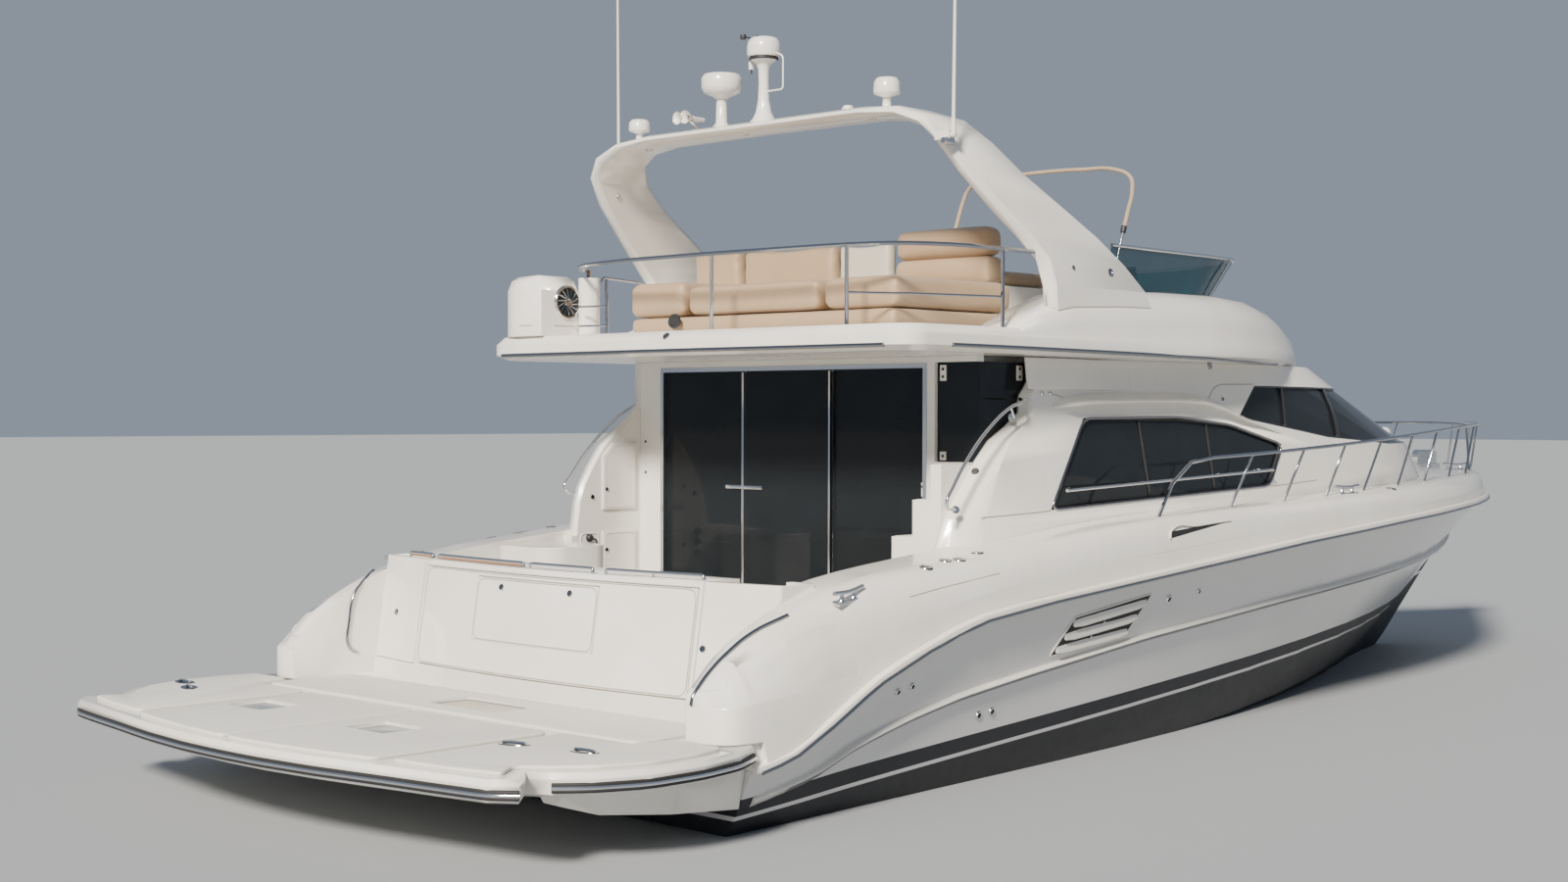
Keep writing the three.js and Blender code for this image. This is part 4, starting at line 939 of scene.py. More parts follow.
transomLatches = [
    # node, y, z
    ("transom_gate_port", 1.80, 1.04),
    ("transom_gate_starboard", -1.50, 1.03),
    ("transom_lid", 0.45, 1.31),
    ("transom_lid", -0.28, 1.31),
]
for i, (node, y, z) in enumerate(transomLatches):
    finishPiece(latchAt(*onAft(node, y, z)), f"latch{i}", "darkSteel", node)


def seamOnAft(node, outline, reach):
    ring = eased([(0, y, z) for y, z in outline], reach, closed=True)
    fine = []
    for a, b in zip(ring, ring[1:] + ring[:1]):
        count = max(1, round((b - a).length / 0.15))
        fine += [a + (b - a) * i / count for i in range(count)]
    return tubePiece([onAft(node, p.y, p.z)[0] + Vector((0.0015, 0, 0)) for p in fine], 0.0045, closed=True)


finishPiece(seamOnAft("transom_hatch", [(-1.402, 0.722), (1.402, 0.722), (1.402, 1.396), (-1.402, 1.396)],
                      0.07), "hatchSeam", "seam", "transom_hatch")
finishPiece(seamOnAft("transom_lid", [(-0.541, 0.940), (0.721, 0.940), (0.721, 1.359), (-0.541, 1.359)],
                      0.06), "lidSeam", "seam", "transom_lid")

# Quarters: the full lower corner of each, over the platform
flank = {
    "path": [(-6.628, -2.052), (-6.630, -2.20), (-6.606, -2.31), (-6.55, -2.375), (-6.46, -2.402),
             (-6.30, -2.412), (-6.05, -2.412), (-5.80, -2.410), (-5.45, -2.406)],
    "top": [(-6.63, 0.895), (-6.56, 0.945), (-6.46, 1.00), (-6.30, 1.06), (-6.05, 1.15), (-5.80, 1.22),
            (-5.45, 1.24)],
    "crease": (0.800, 0.084),       # height at the aft end, rise per metre
    "steps": (0.08, 0.2, 0.35, 0.5, 0.65, 0.8, 1.0),
}
line = eased([(x, y, 0) for x, y in flank["path"]], 0.08)
rings = []
for i, point in enumerate(line):
    run = line[min(i + 1, len(line) - 1)] - line[max(i - 1, 0)]
    inward = Vector((run.y, -run.x, 0)).normalized()
    if inward.dot(Vector((-5.9, -1.9, 0)) - point) < 0:
        inward = -inward
    floorZ = 0.583 if point.x < -6.3 else between(railEdge, point.x)[0] + 0.02
    crease = max(flank["crease"][0] + (point.x + 6.63) * flank["crease"][1], floorZ + 0.02)
    top = max(between(flank["top"], max(point.x, -6.63))[0], crease + 0.03)
    at, _ = meet("deck_moulding", point - inward + Vector((0, 0, crease)), inward)
    stand = (at - point - Vector((0, 0, crease))).dot(inward)
    fade = min(1, max(0, (-5.45 - point.x) / 0.35))
    ring = [point + Vector((0, 0, floorZ)), point + Vector((0, 0, crease - 0.012)),
            point + inward * 0.004 + Vector((0, 0, crease))]
    for f in flank["steps"]:
        at, _ = meet("deck_moulding", point - inward + Vector((0, 0, crease + (top - crease) * f)), inward)
        ring.append(at - inward * ((max(stand, 0.004) * (1 - f) ** 1.5 * 0.85 + 0.006) * fade - 0.002))
    ring.append(ring[-1] + inward * 0.03)
    ring.append(point + inward * max(0.05, stand + 0.02) + Vector((0, 0, floorZ)))
    rings.append(ring)
finishPiece(sweptStrip(rings), "quarterFlanks", "gelcoat", angle=60, both=True)

quarterStrips = [
    [(-6.634, -2.105, 0.800), (-6.622, -2.108, 0.850), (-6.572, -2.115, 0.916), (-6.515, -2.118, 0.972),
     (-6.368, -2.137, 1.090), (-6.168, -2.155, 1.200), (-5.920, -2.214, 1.293)],
    [(-6.08, 2.046, 0.735), (-6.15, 2.046, 0.78), (-6.148, 2.046, 0.976), (-6.10, 2.046, 1.178),
     (-6.02, 2.060, 1.255), (-5.83, 2.190, 1.325)],
]
strips = [tubePiece(line, 0.012, smooth=True, round=3) for line in quarterStrips]
finishPiece(strips, "quarterStrips", "darkSteel", angle=50)

coamingRail = {
    "height": 0.032,
    "runs": [(1.78, 1.44), (1.36, 0.30), (0.22, -0.42), (-0.55, -1.40)],     # y from, y to
    "middleX": -5.9258,
    "bulge": 0.19,        # how much farther forward its ends are
    "halfWidth": 2.05,
    "coamingTop": 1.45,
}
railRadius = 0.0125


def coamingLine(y0, y1, count, lift):
    line = []
    for y in spread(y0, y1, count):
        x = coamingRail["middleX"] + coamingRail["bulge"] * (y / coamingRail["halfWidth"]) ** 2
        line.append(Vector((x, y, coamingRail["coamingTop"] + lift)))
    return line


rails = []
for y0, y1 in coamingRail["runs"]:
    line = coamingLine(y0, y1, max(3, round(abs(y1 - y0) / 0.22)), coamingRail["height"])
    down = Vector((0, 0, -coamingRail["height"]))
    rails.append(tubePiece(eased([line[0] + down, *line, line[-1] + down], 0.03), railRadius, round=3))
    rails += [tubePiece([p, p + down], 0.009, round=2) for p in line[2:-2:2]]
finishPiece(rails, "coamingRails", "steel", angle=50)
slats = [tubePiece(coamingLine(y0, y1, 8, coamingRail["height"] - 0.016), 0.010, round=2)
         for y0, y1 in coamingRail["runs"][:2]]
finishPiece(slats, "coamingSlats", "wood", angle=50)


# Deck cleat: two feet, a bar with curved horns
def cleatPiece():
    half = 0.165
    bar = tubePiece([(-half, 0, 0.066), (-half * 0.75, 0, 0.062), (-half * 0.3, 0, 0.055),
                     (half * 0.3, 0, 0.055), (half * 0.75, 0, 0.062), (half, 0, 0.066)], 0.0135,
                    smooth=True, round=3)
    feet = [spunPiece([(0, 0.06), (0.013, 0.06), (0.014, 0.02), (0.026, 0.006), (0.028, 0), (0, 0)],
                      (x, 0, 0)) for x in (-half * 0.42, half * 0.42)]
    base = blockPiece((-half * 0.8, -0.03, -0.02), (half * 0.8, 0.03, 0.006), 0.003)
    return joinPieces([bar, *feet, base])


cleats = [
    # x, y, turn in degrees
    (-5.46, -2.29, 10), (-5.46, 2.29, -10), (1.10, -2.20, -8), (1.10, 2.20, 8),
    (6.9, -0.45, -24), (6.9, 0.45, 24),
]
cleatStart = cleatPiece()
cleatSet = []
for x, y, turn in cleats:
    place, normal = onTop("deck_moulding", x, y)
    one = copyPiece(cleatStart)
    up = (normal + Vector((0, 0, 3))).normalized()
    along = Vector((math.cos(math.radians(turn)), math.sin(math.radians(turn)), 0))
    across = up.cross(along).normalized()
    one.matrix_world = Matrix.Translation(place) @ Matrix((across.cross(up), across,
                                                           up)).transposed().to_4x4()
    applyPlace(one)
    cleatSet.append(one)
bpy.data.objects.remove(cleatStart)
finishPiece(cleatSet, "deckCleats", "steel", angle=50)
print("stage: stern dressed")

# Swim platform: non-skid panels, lid plates, chrome rub strips and folding cleats
platform = {
    "top": 0.58,
    "panelLift": 0.022,
    "outline": [(-6.401, -2.40), (-6.65, -2.53), (-7.00, -2.59), (-7.40, -2.575), (-7.70, -2.44),
                (-7.86, -2.29), (-7.93, -2.16), (-8.12, -2.34), (-8.23, -2.20), (-8.29, -1.85),
                (-8.35, -1.45), (-8.44, -0.90), (-8.49, -0.40), (-8.50, 0.0)],
    "stripHeight": 0.497,
}
sidePanel = [(-8.25, -1.37), (-8.20, -1.80), (-8.11, -2.18), (-7.93, -2.05), (-7.80, -2.20), (-7.60, -2.38),
             (-7.30, -2.49), (-6.95, -2.49), (-6.70, -2.44), (-6.70, -2.02), (-6.98, -1.98), (-6.98, -1.37)]
panels = [
    [(-8.30, -1.27), (-8.38, -0.80), (-8.43, -0.35), (-8.44, 0.02), (-7.02, 0.02), (-7.02, -1.27)],
    [(-8.44, 0.06), (-8.42, 0.45), (-8.36, 0.95), (-8.30, 1.27), (-7.02, 1.27), (-7.02, 0.06)],
    sidePanel,
    [(x, -y) for x, y in sidePanel],
    [(-6.92, -1.92), (-6.92, 1.92), (-6.22, 1.92), (-6.22, -1.92)],
]
platformLids = ["platform_lid_port", "platform_lid_starboard", "transom_foot_lid"]
tread = []
for outline in panels:
    ring = eased([(x, y, platform["top"] - 0.002) for x, y in outline], 0.06, closed=True)
    panel = platePiece(ring, (0, 0, platform["panelLift"] + 0.002), 0.010, 3)
    for lid in platformLids:
        low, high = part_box(lid)
        cutter = blockPiece((low[0] - 0.02, low[1] - 0.02, 0.55), (high[0] + 0.02, high[1] + 0.02, 0.65),
                            0.02)
        cut = panel.modifiers.new("hole", "BOOLEAN")
        cut.operation = "DIFFERENCE"
        cut.object = cutter
        applyModifiers(panel)
        bpy.data.objects.remove(cutter)
    tread.append(panel)
finishPiece(tread, "platformPanels", "nonSkid")
for lid in platformLids:
    low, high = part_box(lid)
    edge = 0.008
    plate = blockPiece((low[0] + edge, low[1] + edge, high[2] + 0.0005),
                       (high[0] - edge, high[1] - edge, high[2] + 0.008), 0.003)
    foot = lid == "transom_foot_lid"
    finishPiece(plate, lid + "Plate", "creamPlastic" if foot else "lidGrey", lid)
    corners = [(low[0], low[1]), (low[0], high[1]), (high[0], high[1]), (high[0], low[1])]
    ring = ringPiece([(x, y, high[2] + 0.004) for x, y in corners], 0.03, 0.006)
    finishPiece(ring, lid + "Rim", "blackPlastic" if foot else "gelcoat", lid,
                slot="lid_grey" if foot else "gelcoat")

half = platform["outline"]
aroundEdge = half + [(x, -y) for x, y in reversed(half[:-1])]


def edgeRun(first, last, out):
    count = len(aroundEdge)
    line = []
    for i in range(first, last + 1):
        (x0, y0), (x1, y1) = aroundEdge[max(i - 1, 0)], aroundEdge[min(i + 1, count - 1)]
        away = Vector((-(y0 - y1), x0 - x1, 0)).normalized()
        x, y = aroundEdge[i]
        if away.x * (x + 7.2) + away.y * y < 0:
            away = -away
        line.append(Vector((x, y, platform["stripHeight"])) + away * out)
    return line


stripRuns = [(0, 5), (7, 10), (10, 16), (16, 19), (21, 26)]       # between points of the edge
chrome, rubber = [], []
for first, last in stripRuns:
    line = eased(edgeRun(first, last, 0.004), 0.10)
    chrome.append(tubePiece(line, 0.013, round=3))
    rubber += [tubePiece([p + Vector((0, 0, dz)) for p in eased(edgeRun(first, last, -0.002), 0.10)], 0.012,
                         round=2) for dz in (-0.017, 0.017)]
finishPiece(chrome, "platformStrips", "steel", angle=50)
finishPiece(rubber, "platformRubber", "rubber", angle=50)

foldingCleats = [
    # x, y, turn in degrees
    (-7.47, -1.50, 20), (-7.36, -1.99, 5), (-7.47, 2.06, -20), (-7.34, 2.34, -5),
]
dishes, bars = [], []
for x, y, turn in foldingCleats:
    top = platform["top"] + platform["panelLift"]
    dish = spunPiece([(0, 0.001), (0.052, 0.001), (0.060, 0.006), (0.070, 0.005), (0.073, -0.002),
                      (0, -0.002)], (0, 0, 0), steps=28)
    dish.scale = (1.5, 0.8, 1)
    dishes.append(dish)
    bar = tubePiece([(-0.075, 0, 0.010), (-0.03, 0, 0.012), (0.03, 0, 0.012), (0.075, 0, 0.010)], 0.009,
                    smooth=True, round=2)
    bars.append(bar)
    for part in (dish, bar):
        part.rotation_euler = (0, 0, math.radians(90 + turn))
        part.location = (x, y, top)
        applyPlace(part)
finishPiece(dishes, "foldingCleatDishes", "darkSteel")
finishPiece(bars, "foldingCleatBars", "steel")
print("stage: platform dressed")

# Deckhouse: window trims, brow, seams, hand rails
sideWindow = [
    # x, z
    (-2.89, 1.825), (-2.37, 2.49), (-1.08, 2.50), (-0.31, 2.44), (0.49, 2.27), (0.22, 1.93),
]
houseSide = [(1.50, 2.02), (2.25, 1.93), (2.76, 1.86), (2.94, 1.84)]     # z, half width
trim = {"radius": 0.010, "corner": 0.10}


def housePoint(x, z, out=0.0):
    return Vector((x, -between(houseSide, z)[0] - out, z))


def houseLine(points, out):
    return [housePoint(x, z, out) for x, z in points]


def houseRing(x, section):
    return [housePoint(x, z, out) for z, out in section]


middleX, middleZ = [sum(values) / len(sideWindow) for values in zip(*sideWindow)]
outline = houseLine(sideWindow, 0.001)
frameRing = ringPiece(outline, trim["corner"], trim["radius"])
finishPiece(frameRing, "sideWindowTrim", "darkSteel", angle=50, both=True)
gasketLine = [point + (Vector((middleX, point.y, middleZ)) - point).normalized() * 0.02
              + Vector((0, 0.008, 0)) for point in outline]
gasket = ringPiece(gasketLine, trim["corner"], 0.012, round=1)
bars = [tubePiece(houseLine(ends, -0.016), 0.011)
        for ends in (((-1.56, 1.865), (-1.62, 2.50)), ((-0.62, 1.90), (-0.66, 2.47)))]
finishPiece([gasket, *bars], "sideWindowGasket", "rubber", both=True)

brow = {
    # x, top, low
    "edges": [(-2.74, 2.600, 2.560), (-2.60, 2.640, 2.572), (-2.36, 2.672, 2.588), (-1.71, 2.688, 2.606),
              (-1.10, 2.692, 2.608), (-0.73, 2.676, 2.592), (-0.42, 2.610, 2.540), (-0.22, 2.535, 2.490),
              (-0.05, 2.487, 2.455), (0.20, 2.437, 2.412), (0.50, 2.370, 2.352)],
    "out": 0.085,
}
rings = []
for x in spread(-2.74, 0.50, 36):
    top, low = between(brow["edges"], x)
    out = brow["out"] * min(1.0, (x + 2.76) / 0.22, max(0.02, (0.52 - x) / 1.3))
    rings.append(houseRing(x, [(top + 0.016, -0.01), (top + 0.004, 0.003),
                               (top * 0.4 + low * 0.6, out * 0.78), (low + 0.014, out),
                               (low + 0.004, out * 0.94), (low, -0.01)]))
finishPiece(sweptStrip(rings), "sideBrow", "gelcoat", angle=35, both=True)

fascia = {"from": -3.02, "to": -1.70, "low": 2.700, "high": 2.936, "out": 0.038}
rings = []
for x in spread(fascia["from"], fascia["to"], 18):
    out = fascia["out"] * max(0.03, min(1.0, (x - fascia["from"]) / 0.06, (fascia["to"] - x) / 0.75))
    low, high = fascia["low"], fascia["high"]
    rings.append(houseRing(x, [(high, -0.01), (high - 0.004, out * 0.7), (high - 0.06, out),
                               (low + 0.02, out), (low + 0.004, out * 0.85), (low, -0.01)]))
finishPiece(sweptStrip(rings), "fascia", "gelcoat", angle=35, both=True)
lamps = [latchAt(housePoint(x, 2.672, 0.004), Vector((0, -1, 0.1)), 0.017) for x in (-2.86, -2.76)]
finishPiece(lamps, "fasciaLamps", "steel", both=True)

seamRadius = 0.0035
seams = [
    [(-3.72, 1.800), (-3.40, 1.806), (-3.05, 1.815), (-2.90, 1.822)],
    [(-2.78, 2.672), (-2.66, 2.660), (-2.60, 2.640)],
    [(0.22, 1.925), (0.60, 1.94), (1.00, 1.96)],
]
finishPiece([tubePiece(houseLine(line, 0.0005), seamRadius) for line in seams], "houseSeams", "seam",
            both=True)

sideRail = {"y": -2.03, "from": (-2.76, 1.965), "to": (0.16, 2.065), "feet": (-2.60, -1.55, -0.60, 0.05)}
(x0, z0), (x1, z1) = sideRail["from"], sideRail["to"]
grab = [tubePiece([(x0, sideRail["y"], z0), (x1, sideRail["y"], z1)], railRadius, round=3)]
for x in sideRail["feet"]:
    z = z0 + (z1 - z0) * (x - x0) / (x1 - x0)
    wall = housePoint(x, z)
    grab.append(tubePiece([(x, sideRail["y"], z), (x, wall.y + 0.03, z - 0.004),
                           wall + Vector((0, 0.02, -0.012))], 0.008, smooth=True, round=2))
finishPiece(grab, "sideGrabRails", "steel", angle=50, both=True)

wingRail = {
    # x, z
    "line": [(-4.10, 1.905), (-4.03, 2.02), (-3.86, 2.22), (-3.62, 2.43), (-3.38, 2.57), (-3.24, 2.61)],
    "y": -1.985,
}
line = [Vector((x, wingRail["y"], z)) for x, z in wingRail["line"]]
wall = [Vector((-3.93, -1.93, 1.86)), Vector((-3.22, -1.87, 2.50))]
rail = tubePiece([wall[0], *line, Vector((-3.16, -1.90, 2.63)), Vector((-3.02, -1.86, 2.625))], railRadius,
                 smooth=True, round=3)
stay = tubePiece([line[4], Vector((-3.30, -1.95, 2.50)), wall[1]], 0.009, smooth=True, round=2)
pads = [spunPiece([(0, 0.006), (0.026, 0.006), (0.030, -0.004), (0, -0.004)], place, (-0.6, -0.8, 0.1), 16)
        for place in wall]
finishPiece([rail, stay, *pads], "wingHandRails", "steel", angle=50, both=True)
print("stage: deckhouse dressed")

# Saloon doors and the panes beside them: stiles, levers, small plates
stiles = [
    # node, y from, y to, body
    ("door_panel_port", 0.572, 0.592, "boat"),
    ("door_panel_starboard", -0.344, -0.322, "boat"),
    ("sliding_door", 0.573, 0.594, "sliding_door"),
    ("sliding_door", -0.344, -0.326, "sliding_door"),
]
for i, (node, y0, y1, body) in enumerate(stiles):
    low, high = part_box(node)
    stile = blockPiece((low[0] - 0.002, y0, low[2] + 0.002), (high[0] + 0.002, y1, high[2] - 0.002), 0.002)
    finishPiece(stile, f"doorStile{i}", "steel", body)
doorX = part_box("sliding_door")[0][0]
lever = [blockPiece((doorX - 0.010, 0.36, 1.925), (doorX + 0.001, 0.565, 1.955)),
         blockPiece((doorX - 0.022, 0.36, 1.932), (doorX - 0.008, 0.50, 1.948), 0.005)]
finishPiece(lever, "slidingDoorLever", "steel", "sliding_door")
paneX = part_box("door_panel_port")[0][0]
catch = blockPiece((paneX - 0.010, 0.60, 1.925), (paneX + 0.001, 0.80, 1.955))
finishPiece(catch, "portDoorCatch", "steel")
plates = [
    # low corner, high corner
    ((paneX - 0.008, -1.245, 1.88), (paneX + 0.001, -1.215, 2.02)),
    ((-3.455, -1.46, 2.76), (-3.447, -1.40, 2.875)),
    ((-3.455, -1.46, 2.185), (-3.447, -1.40, 2.25)),
    ((-3.02, -1.767, 2.765), (-2.95, -1.759, 2.875)),
]
finishPiece([blockPiece(low, high) for low, high in plates], "panePlates", "gelcoat")
aft, starboard = (-1, 0, 0), (0, -1, 0)
dots = [((paneX - 0.008, -1.23, 1.91), aft), ((paneX - 0.008, -1.23, 1.99), aft),
        ((-3.455, -1.43, 2.79), aft), ((-3.455, -1.43, 2.845), aft), ((-3.455, -1.43, 2.217), aft),
        ((-2.985, -1.767, 2.79), starboard), ((-2.985, -1.767, 2.85), starboard),
        ((-3.48, 1.693, 2.29), aft), ((-3.48, 1.692, 2.037), aft)]
finishPiece([spunPiece([(0, 0.003), (0.011, 0.003), (0.013, -0.001), (0, -0.001)], place, normal, 14)
             for place, normal in dots], "paneDots", "blackPlastic")

# Cockpit: cabinet borders and latches, tap recess, step treads, small fittings
cabinets = {
    # x, z
    "cabinet_door_upper": [(-3.90, 1.74), (-3.54, 1.74), (-3.54, 2.28), (-3.79, 2.28), (-3.90, 2.17)],
    "cabinet_door_lower": [(-3.90, 1.21), (-3.54, 1.21), (-3.54, 1.565), (-3.90, 1.565)],
}
cabinetLatches = {"cabinet_door_upper": (-3.867, 1.906), "cabinet_door_lower": (-3.867, 1.415)}
doorFace, borderIn = 1.744, 0.020
for node, outline in cabinets.items():
    middleX = sum(x for x, _ in outline) / len(outline)
    middleZ = sum(z for _, z in outline) / len(outline)
    inner = [(x + math.copysign(borderIn, middleX - x), doorFace, z + math.copysign(borderIn, middleZ - z))
             for x, z in outline]
    border = ringPiece(inner, 0.03, 0.004)
    finishPiece(border, node + "Border", "gelcoat", node, angle=50)
    x, z = cabinetLatches[node]
    finishPiece(latchAt((x, doorFace, z), (0, -1, 0), 0.017), node + "Latch", "darkSteel", node)
wingFace = 1.76
tapFrame = ringPiece([(-4.13, wingFace, 1.26), (-3.94, wingFace, 1.26), (-3.94, wingFace, 1.55),
                      (-4.13, wingFace, 1.55)], 0.04, 0.006)
finishPiece(tapFrame, "tapFrame", "gelcoat", angle=50)
tapParts = [spunPiece([(0, 0.035), (0.022, 0.033), (0.032, 0.015), (0.034, -0.002), (0, -0.002)],
                      (-4.04, wingFace, z), (0, -1, 0), 18) for z in (1.515, 1.435, 1.335)]
tapParts.append(tubePiece([(-4.04, wingFace - 0.02, 1.515), (-4.00, wingFace - 0.05, 1.49),
                           (-4.01, wingFace - 0.03, 1.435)], 0.008, smooth=True, round=2))
finishPiece(tapParts, "tapFittings", "blackPlastic")
smallRounds = [
    # place, outward, radius
    ((-4.007, 1.76, 1.847), (0, -1, 0), 0.020),
    ((-3.59, -1.832, 2.117), (-0.72, -0.29, 0.63), 0.030),
    ((-2.337, -2.109, 3.569), (0, -1, 0.08), 0.030),
    ((-2.807, -2.108, 3.580), (0, -1, 0.08), 0.016),
    ((-0.383, -1.875, 2.648), (0, -1, 0.13), 0.016),
    ((-0.527, -1.843, 2.916), (0, -1, 0.11), 0.030),
]
finishPiece([latchAt(place, Vector(normal), radius) for place, normal, radius in smallRounds],
            "smallRounds", "darkSteel")
treads = [(-1.310, -1.090, 1.390), (-1.500, -1.310, 1.650), (-1.660, -1.500, 1.915),
          (-1.758, -1.660, 2.165)]
pads = [blockPiece((-3.86, y0 + 0.012, top - 0.001), (-3.52, y1 - 0.012, top + 0.004), 0.003)
        for y0, y1, top in treads]
finishPiece(pads, "stepTreads", "nonSkid")

# Deck: fillers, air scoops, seams, searchlight
fillers = [(-4.646, -2.255), (-4.402, -2.222), (-4.303, -2.259), (-4.055, -2.214), (1.93, -2.19)]     # x, y
caps = []
for x, y in fillers:
    place, normal = onTop("deck_moulding", x, y)
    caps.append(spunPiece([(0, 0.007), (0.018, 0.008), (0.030, 0.005), (0.042, 0.006), (0.046, -0.002),
                           (0, -0.002)], place, normal, 20))
finishPiece(caps, "deckFillers", "darkSteel", both=True)
scoopLine = [(-1.99, 1.600), (-1.95, 1.650), (-1.60, 1.672), (-1.15, 1.695), (-1.50, 1.655)]
scoop = platePiece(lineOnSide("deck_moulding", scoopLine, 0.002), (0, 0.012, 0), 0.0)
finishPiece(scoop, "airScoops", "rubber", both=True)
lip = tubePiece(lineOnSide("deck_moulding", [(-2.00, 1.597), (-1.96, 1.655), (-1.60, 1.678),
                                             (-1.12, 1.702)], 0.006), 0.008, smooth=True, round=2)
finishPiece(lip, "airScoopLips", "gelcoat", angle=50, both=True)
deckSeams = [
    lineOnSide("deck_moulding", [(-4.95, 1.350), (-4.84, 1.364), (-4.65, 1.390), (-4.45, 1.411),
                                 (-4.05, 1.454)], 0.0005),
    houseLine([(-0.60, 2.64), (-0.572, 2.675), (-0.496, 2.738), (-0.397, 2.768), (0.12, 2.775)], 0.0005),
]
finishPiece([tubePiece(line, seamRadius) for line in deckSeams], "deckSeams", "seam", both=True)
lampFoot, _ = onTop("deck_moulding", 6.05, 0.0)
stem = spunPiece([(0, 0.30), (0.020, 0.30), (0.022, 0.05), (0.055, 0.012), (0.060, -0.004), (0, -0.004)],
                 lampFoot, steps=20)
lamp = spunPiece([(0, 0.085), (0.058, 0.080), (0.066, 0.070), (0.066, 0.0), (0.055, -0.055),
                  (0.025, -0.080), (0, -0.082)], lampFoot + Vector((0, 0, 0.35)), (1, 0, 0.05), 24)
finishPiece([stem, lamp], "searchlight", "gelcoat")
print("stage: cockpit and deck dressed")

# Flybridge: edge strips, rails, lift housing wheel, small fittings
edgeStrip = {"z": 2.975, "radius": 0.016}
sidePoints = [(-4.30, 2.982), (-3.60, 2.980), (-2.86, 2.976), (-2.20, 2.972), (-1.57, 2.966),
              (-0.90, 2.958), (-0.25, 2.948), (0.40, 2.944)]
sideLine = [onSide("flybridge", x, z)[0] + Vector((0, -0.004, 0)) for x, z in sidePoints]
finishPiece(tubePiece(sideLine, edgeStrip["radius"], smooth=True, round=3), "flySideStrips", "darkSteel",
            angle=50, both=True)
aftLine = [onAft("flybridge", y, edgeStrip["z"])[0] + Vector((-0.004, 0, 0))
           for y in (-1.98, -1.5, -0.9, -0.3, 0.3, 0.9, 1.5, 1.98)]
finishPiece(tubePiece(aftLine, edgeStrip["radius"], smooth=True, round=3), "flyAftStrip", "darkSteel",
            angle=50)

extra = [
    tubePiece([(-4.65, -1.56, 3.34), (-4.25, -1.80, 3.34), (-3.55, -2.03, 3.34)], 0.009, round=2),
    tubePiece(eased([(-3.70, 2.0, 3.60), (-3.68, 2.0, 3.645), (-3.23, 2.0, 3.62), (-3.20, 2.0, 3.60)],
                    0.03), railRadius, round=3),
    tubePiece([(-3.64, 2.0, 3.10), (-3.64, 2.0, 3.64)], railRadius, round=3),
    tubePiece([(-4.48, 1.38, 3.35), (-4.42, 1.12, 3.35)], 0.008, round=2),
    tubePiece([(-4.48, 1.38, 3.20), (-4.42, 1.12, 3.20)], 0.008, round=2),
    tubePiece([(-4.42, 1.12, 3.12), (-4.42, 1.12, 3.45)], 0.010, round=2),
]
finishPiece(extra, "flySmallRails", "railSteel", angle=50)

wheelPlace = Vector((-4.487, 1.51, 3.39))
ring = spunPiece([(0.108, 0.002), (0.112, 0.016), (0.126, 0.018), (0.134, 0.008), (0.136, -0.003),
                  (0.106, -0.003)], wheelPlace, (0, -1, 0), 36)
hub = spunPiece([(0, 0.020), (0.030, 0.018), (0.036, 0.006), (0.036, 0.0), (0, 0.0)], wheelPlace,
                (0, -1, 0), 24)
finishPiece([ring, hub], "liftWheelRing", "steel")
disc = spunPiece([(0, 0.003), (0.108, 0.003), (0.108, -0.002), (0, -0.002)], wheelPlace, (0, -1, 0), 36)
vanes = []
for i in range(14):
    turn = math.tau * i / 14
    reach = Vector((math.cos(turn), 0, math.sin(turn)))
    lean = Vector((math.cos(turn + 0.35), 0, math.sin(turn + 0.35)))
    out = Vector((0, -0.010, 0))
    vanes.append(tubePiece([wheelPlace + reach * 0.036 + out, wheelPlace + lean * 0.106 + out], 0.005))
finishPiece(disc, "liftWheelDisc", "rubber")
finishPiece(vanes, "liftWheelVanes", "darkSteel")
seamLoop = [meet("lift_housing", (x, y, 3.205), along)[0] for x, y, along in (
    (-4.26, 1.0, (0, 1, 0)), (-4.45, 1.0, (0, 1, 0)), (-4.62, 1.0, (0, 1, 0)), (-6.0, 1.62, (1, 0, 0)),
    (-6.0, 1.75, (1, 0, 0)), (-6.0, 1.90, (1, 0, 0)))]
finishPiece(tubePiece(seamLoop, seamRadius), "liftSeam", "seam")

reel = spunPiece([(0, 0.030), (0.030, 0.032), (0.036, 0.018), (0.052, 0.020), (0.058, 0.0), (0.045, -0.020),
                  (0, -0.020)], (-4.345, 0.44, 3.215), (-1, 0, 0.15), 24)
finishPiece(reel, "hoseReel", "blackPlastic")
edgeFit = latchAt(*meet("flybridge", (-6.0, 0.07, 3.081), (1, 0, 0)), 0.030)
finishPiece(edgeFit, "edgeFitting", "darkSteel")

# Mast: flared foot, slim post, low dome on a dark ring
mastTop = Vector((-3.84, 0, 4.712))
mast = spunPiece([(0, 0.651), (0.060, 0.650), (0.100, 0.640), (0.120, 0.615), (0.128, 0.575),
                  (0.128, 0.520), (0.120, 0.500), (0.100, 0.496), (0.098, 0.476), (0.060, 0.450),
                  (0.042, 0.410), (0.038, 0.300), (0.044, 0.170), (0.062, 0.080), (0.088, 0.030),
                  (0.104, 0.014), (0.105, 0.0), (0, 0.0)], mastTop, steps=32)
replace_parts(finishPiece(mast, "mastSkin", "gelcoat"), "mast")
mastRing = spunPiece([(0.096, 0.476), (0.110, 0.478), (0.113, 0.486), (0.110, 0.497), (0.096, 0.499)],
                     mastTop, steps=32)
finishPiece(mastRing, "mastRing", "blackPlastic")

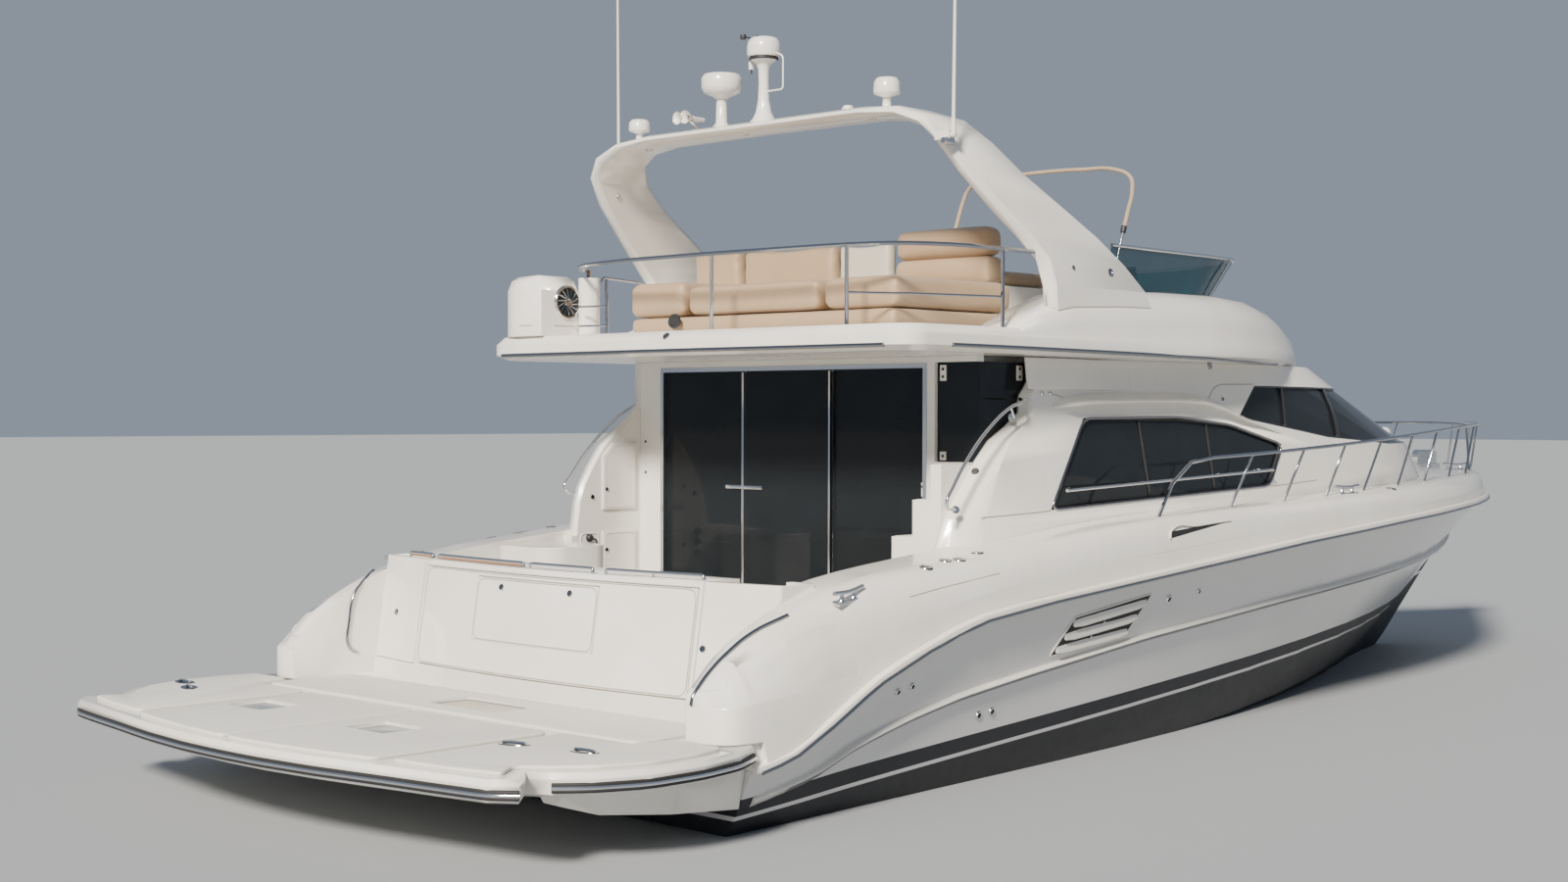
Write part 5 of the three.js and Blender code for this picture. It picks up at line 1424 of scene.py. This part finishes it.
# Arch: horn, wind sensor, small mushrooms, downlights, aerial brackets
archX = -3.84
white = [
    spunPiece([(0, 0.055), (0.030, 0.050), (0.046, 0.030), (0.046, 0.020), (0.016, 0.010), (0.016, -0.03),
               (0, -0.03)], onTop("radar_arch", archX, -0.85)[0], steps=24),
    spunPiece([(0, 0.03), (0.022, 0.03), (0.022, -0.03), (0, -0.03)], (archX, 0.13, 5.16), steps=16),
]
finishPiece(white, "archMushroom", "gelcoat")
horn = [spunPiece([(0.052, 0.12), (0.046, 0.115), (0.024, 0.06), (0.016, 0.0), (0.016, -0.10), (0, -0.105),
                   (0, 0.0), (0.010, 0.02)], (archX - 0.10, 0.67 + dy, 4.80), (-1, dy * 2, 0), 20)
        for dy in (-0.03, 0.04)]
horn.append(tubePiece([(archX - 0.09, 0.64, 4.80), (archX - 0.09, 0.71, 4.80), (archX - 0.02, 0.66, 4.70)],
                      0.012, round=2))
finishPiece(horn, "horn", "gelcoat")
sensor = [
    tubePiece([(archX, 0.13, 5.10), (archX, 0.13, 5.36)], 0.006, round=2),
    tubePiece([(archX - 0.10, 0.13, 5.37), (archX + 0.08, 0.13, 5.37)], 0.005),
    blockPiece((archX + 0.05, 0.128, 5.345), (archX + 0.11, 0.132, 5.40), 0.001),
    spunPiece([(0, 0.02), (0.020, 0.015), (0.024, 0.0), (0.020, -0.02), (0, -0.022)],
              (archX - 0.09, 0.13, 5.37), steps=16),
]
finishPiece(sensor, "windSensor", "blackPlastic")
guard = tubePiece(eased([(archX, -0.02, 4.95), (archX, -0.20, 4.95), (archX, -0.20, 5.20),
                         (archX, -0.13, 5.23)], 0.03), 0.007, round=2)
finishPiece(guard, "mastGuard", "gelcoat", angle=50)
downlights = [meet("radar_arch", (archX, y, 4.2), (0, 0, 1)) for y in (0.17, -1.08, 1.26)]
finishPiece([latchAt(place, normal, 0.035) for place, normal in downlights], "archDownlights", "steel")
legLamp = meet("radar_arch", (-3.70, 0.5, 4.30), (0, 1, 0))
finishPiece(latchAt(*legLamp, 0.022), "legLamp", "steel")
brackets = []
for x, s in ((-3.96, -1), (-3.57, 1)):
    inner, outer = sorted((s * 1.850, s * 1.905))
    brackets.append(blockPiece((x - 0.045, inner, 4.375), (x + 0.045, outer, 4.425), 0.008))
    brackets.append(spunPiece([(0, 0.055), (0.020, 0.055), (0.024, 0.048), (0.024, -0.048), (0.020, -0.055),
                               (0, -0.055)], (x, s * 1.875, 4.40), (1, 0, 0), 18))
finishPiece(brackets, "aerialBrackets", "steel")
print("stage: flybridge dressed")

# The floor lies at the waterline
deselectAll()
bpy.ops.mesh.primitive_plane_add(size=400, location=(0, 0, 0))
floor = bpy.context.object
floor.name = "floor"
floor.data.materials.append(floorPaint())

print("stage: done")
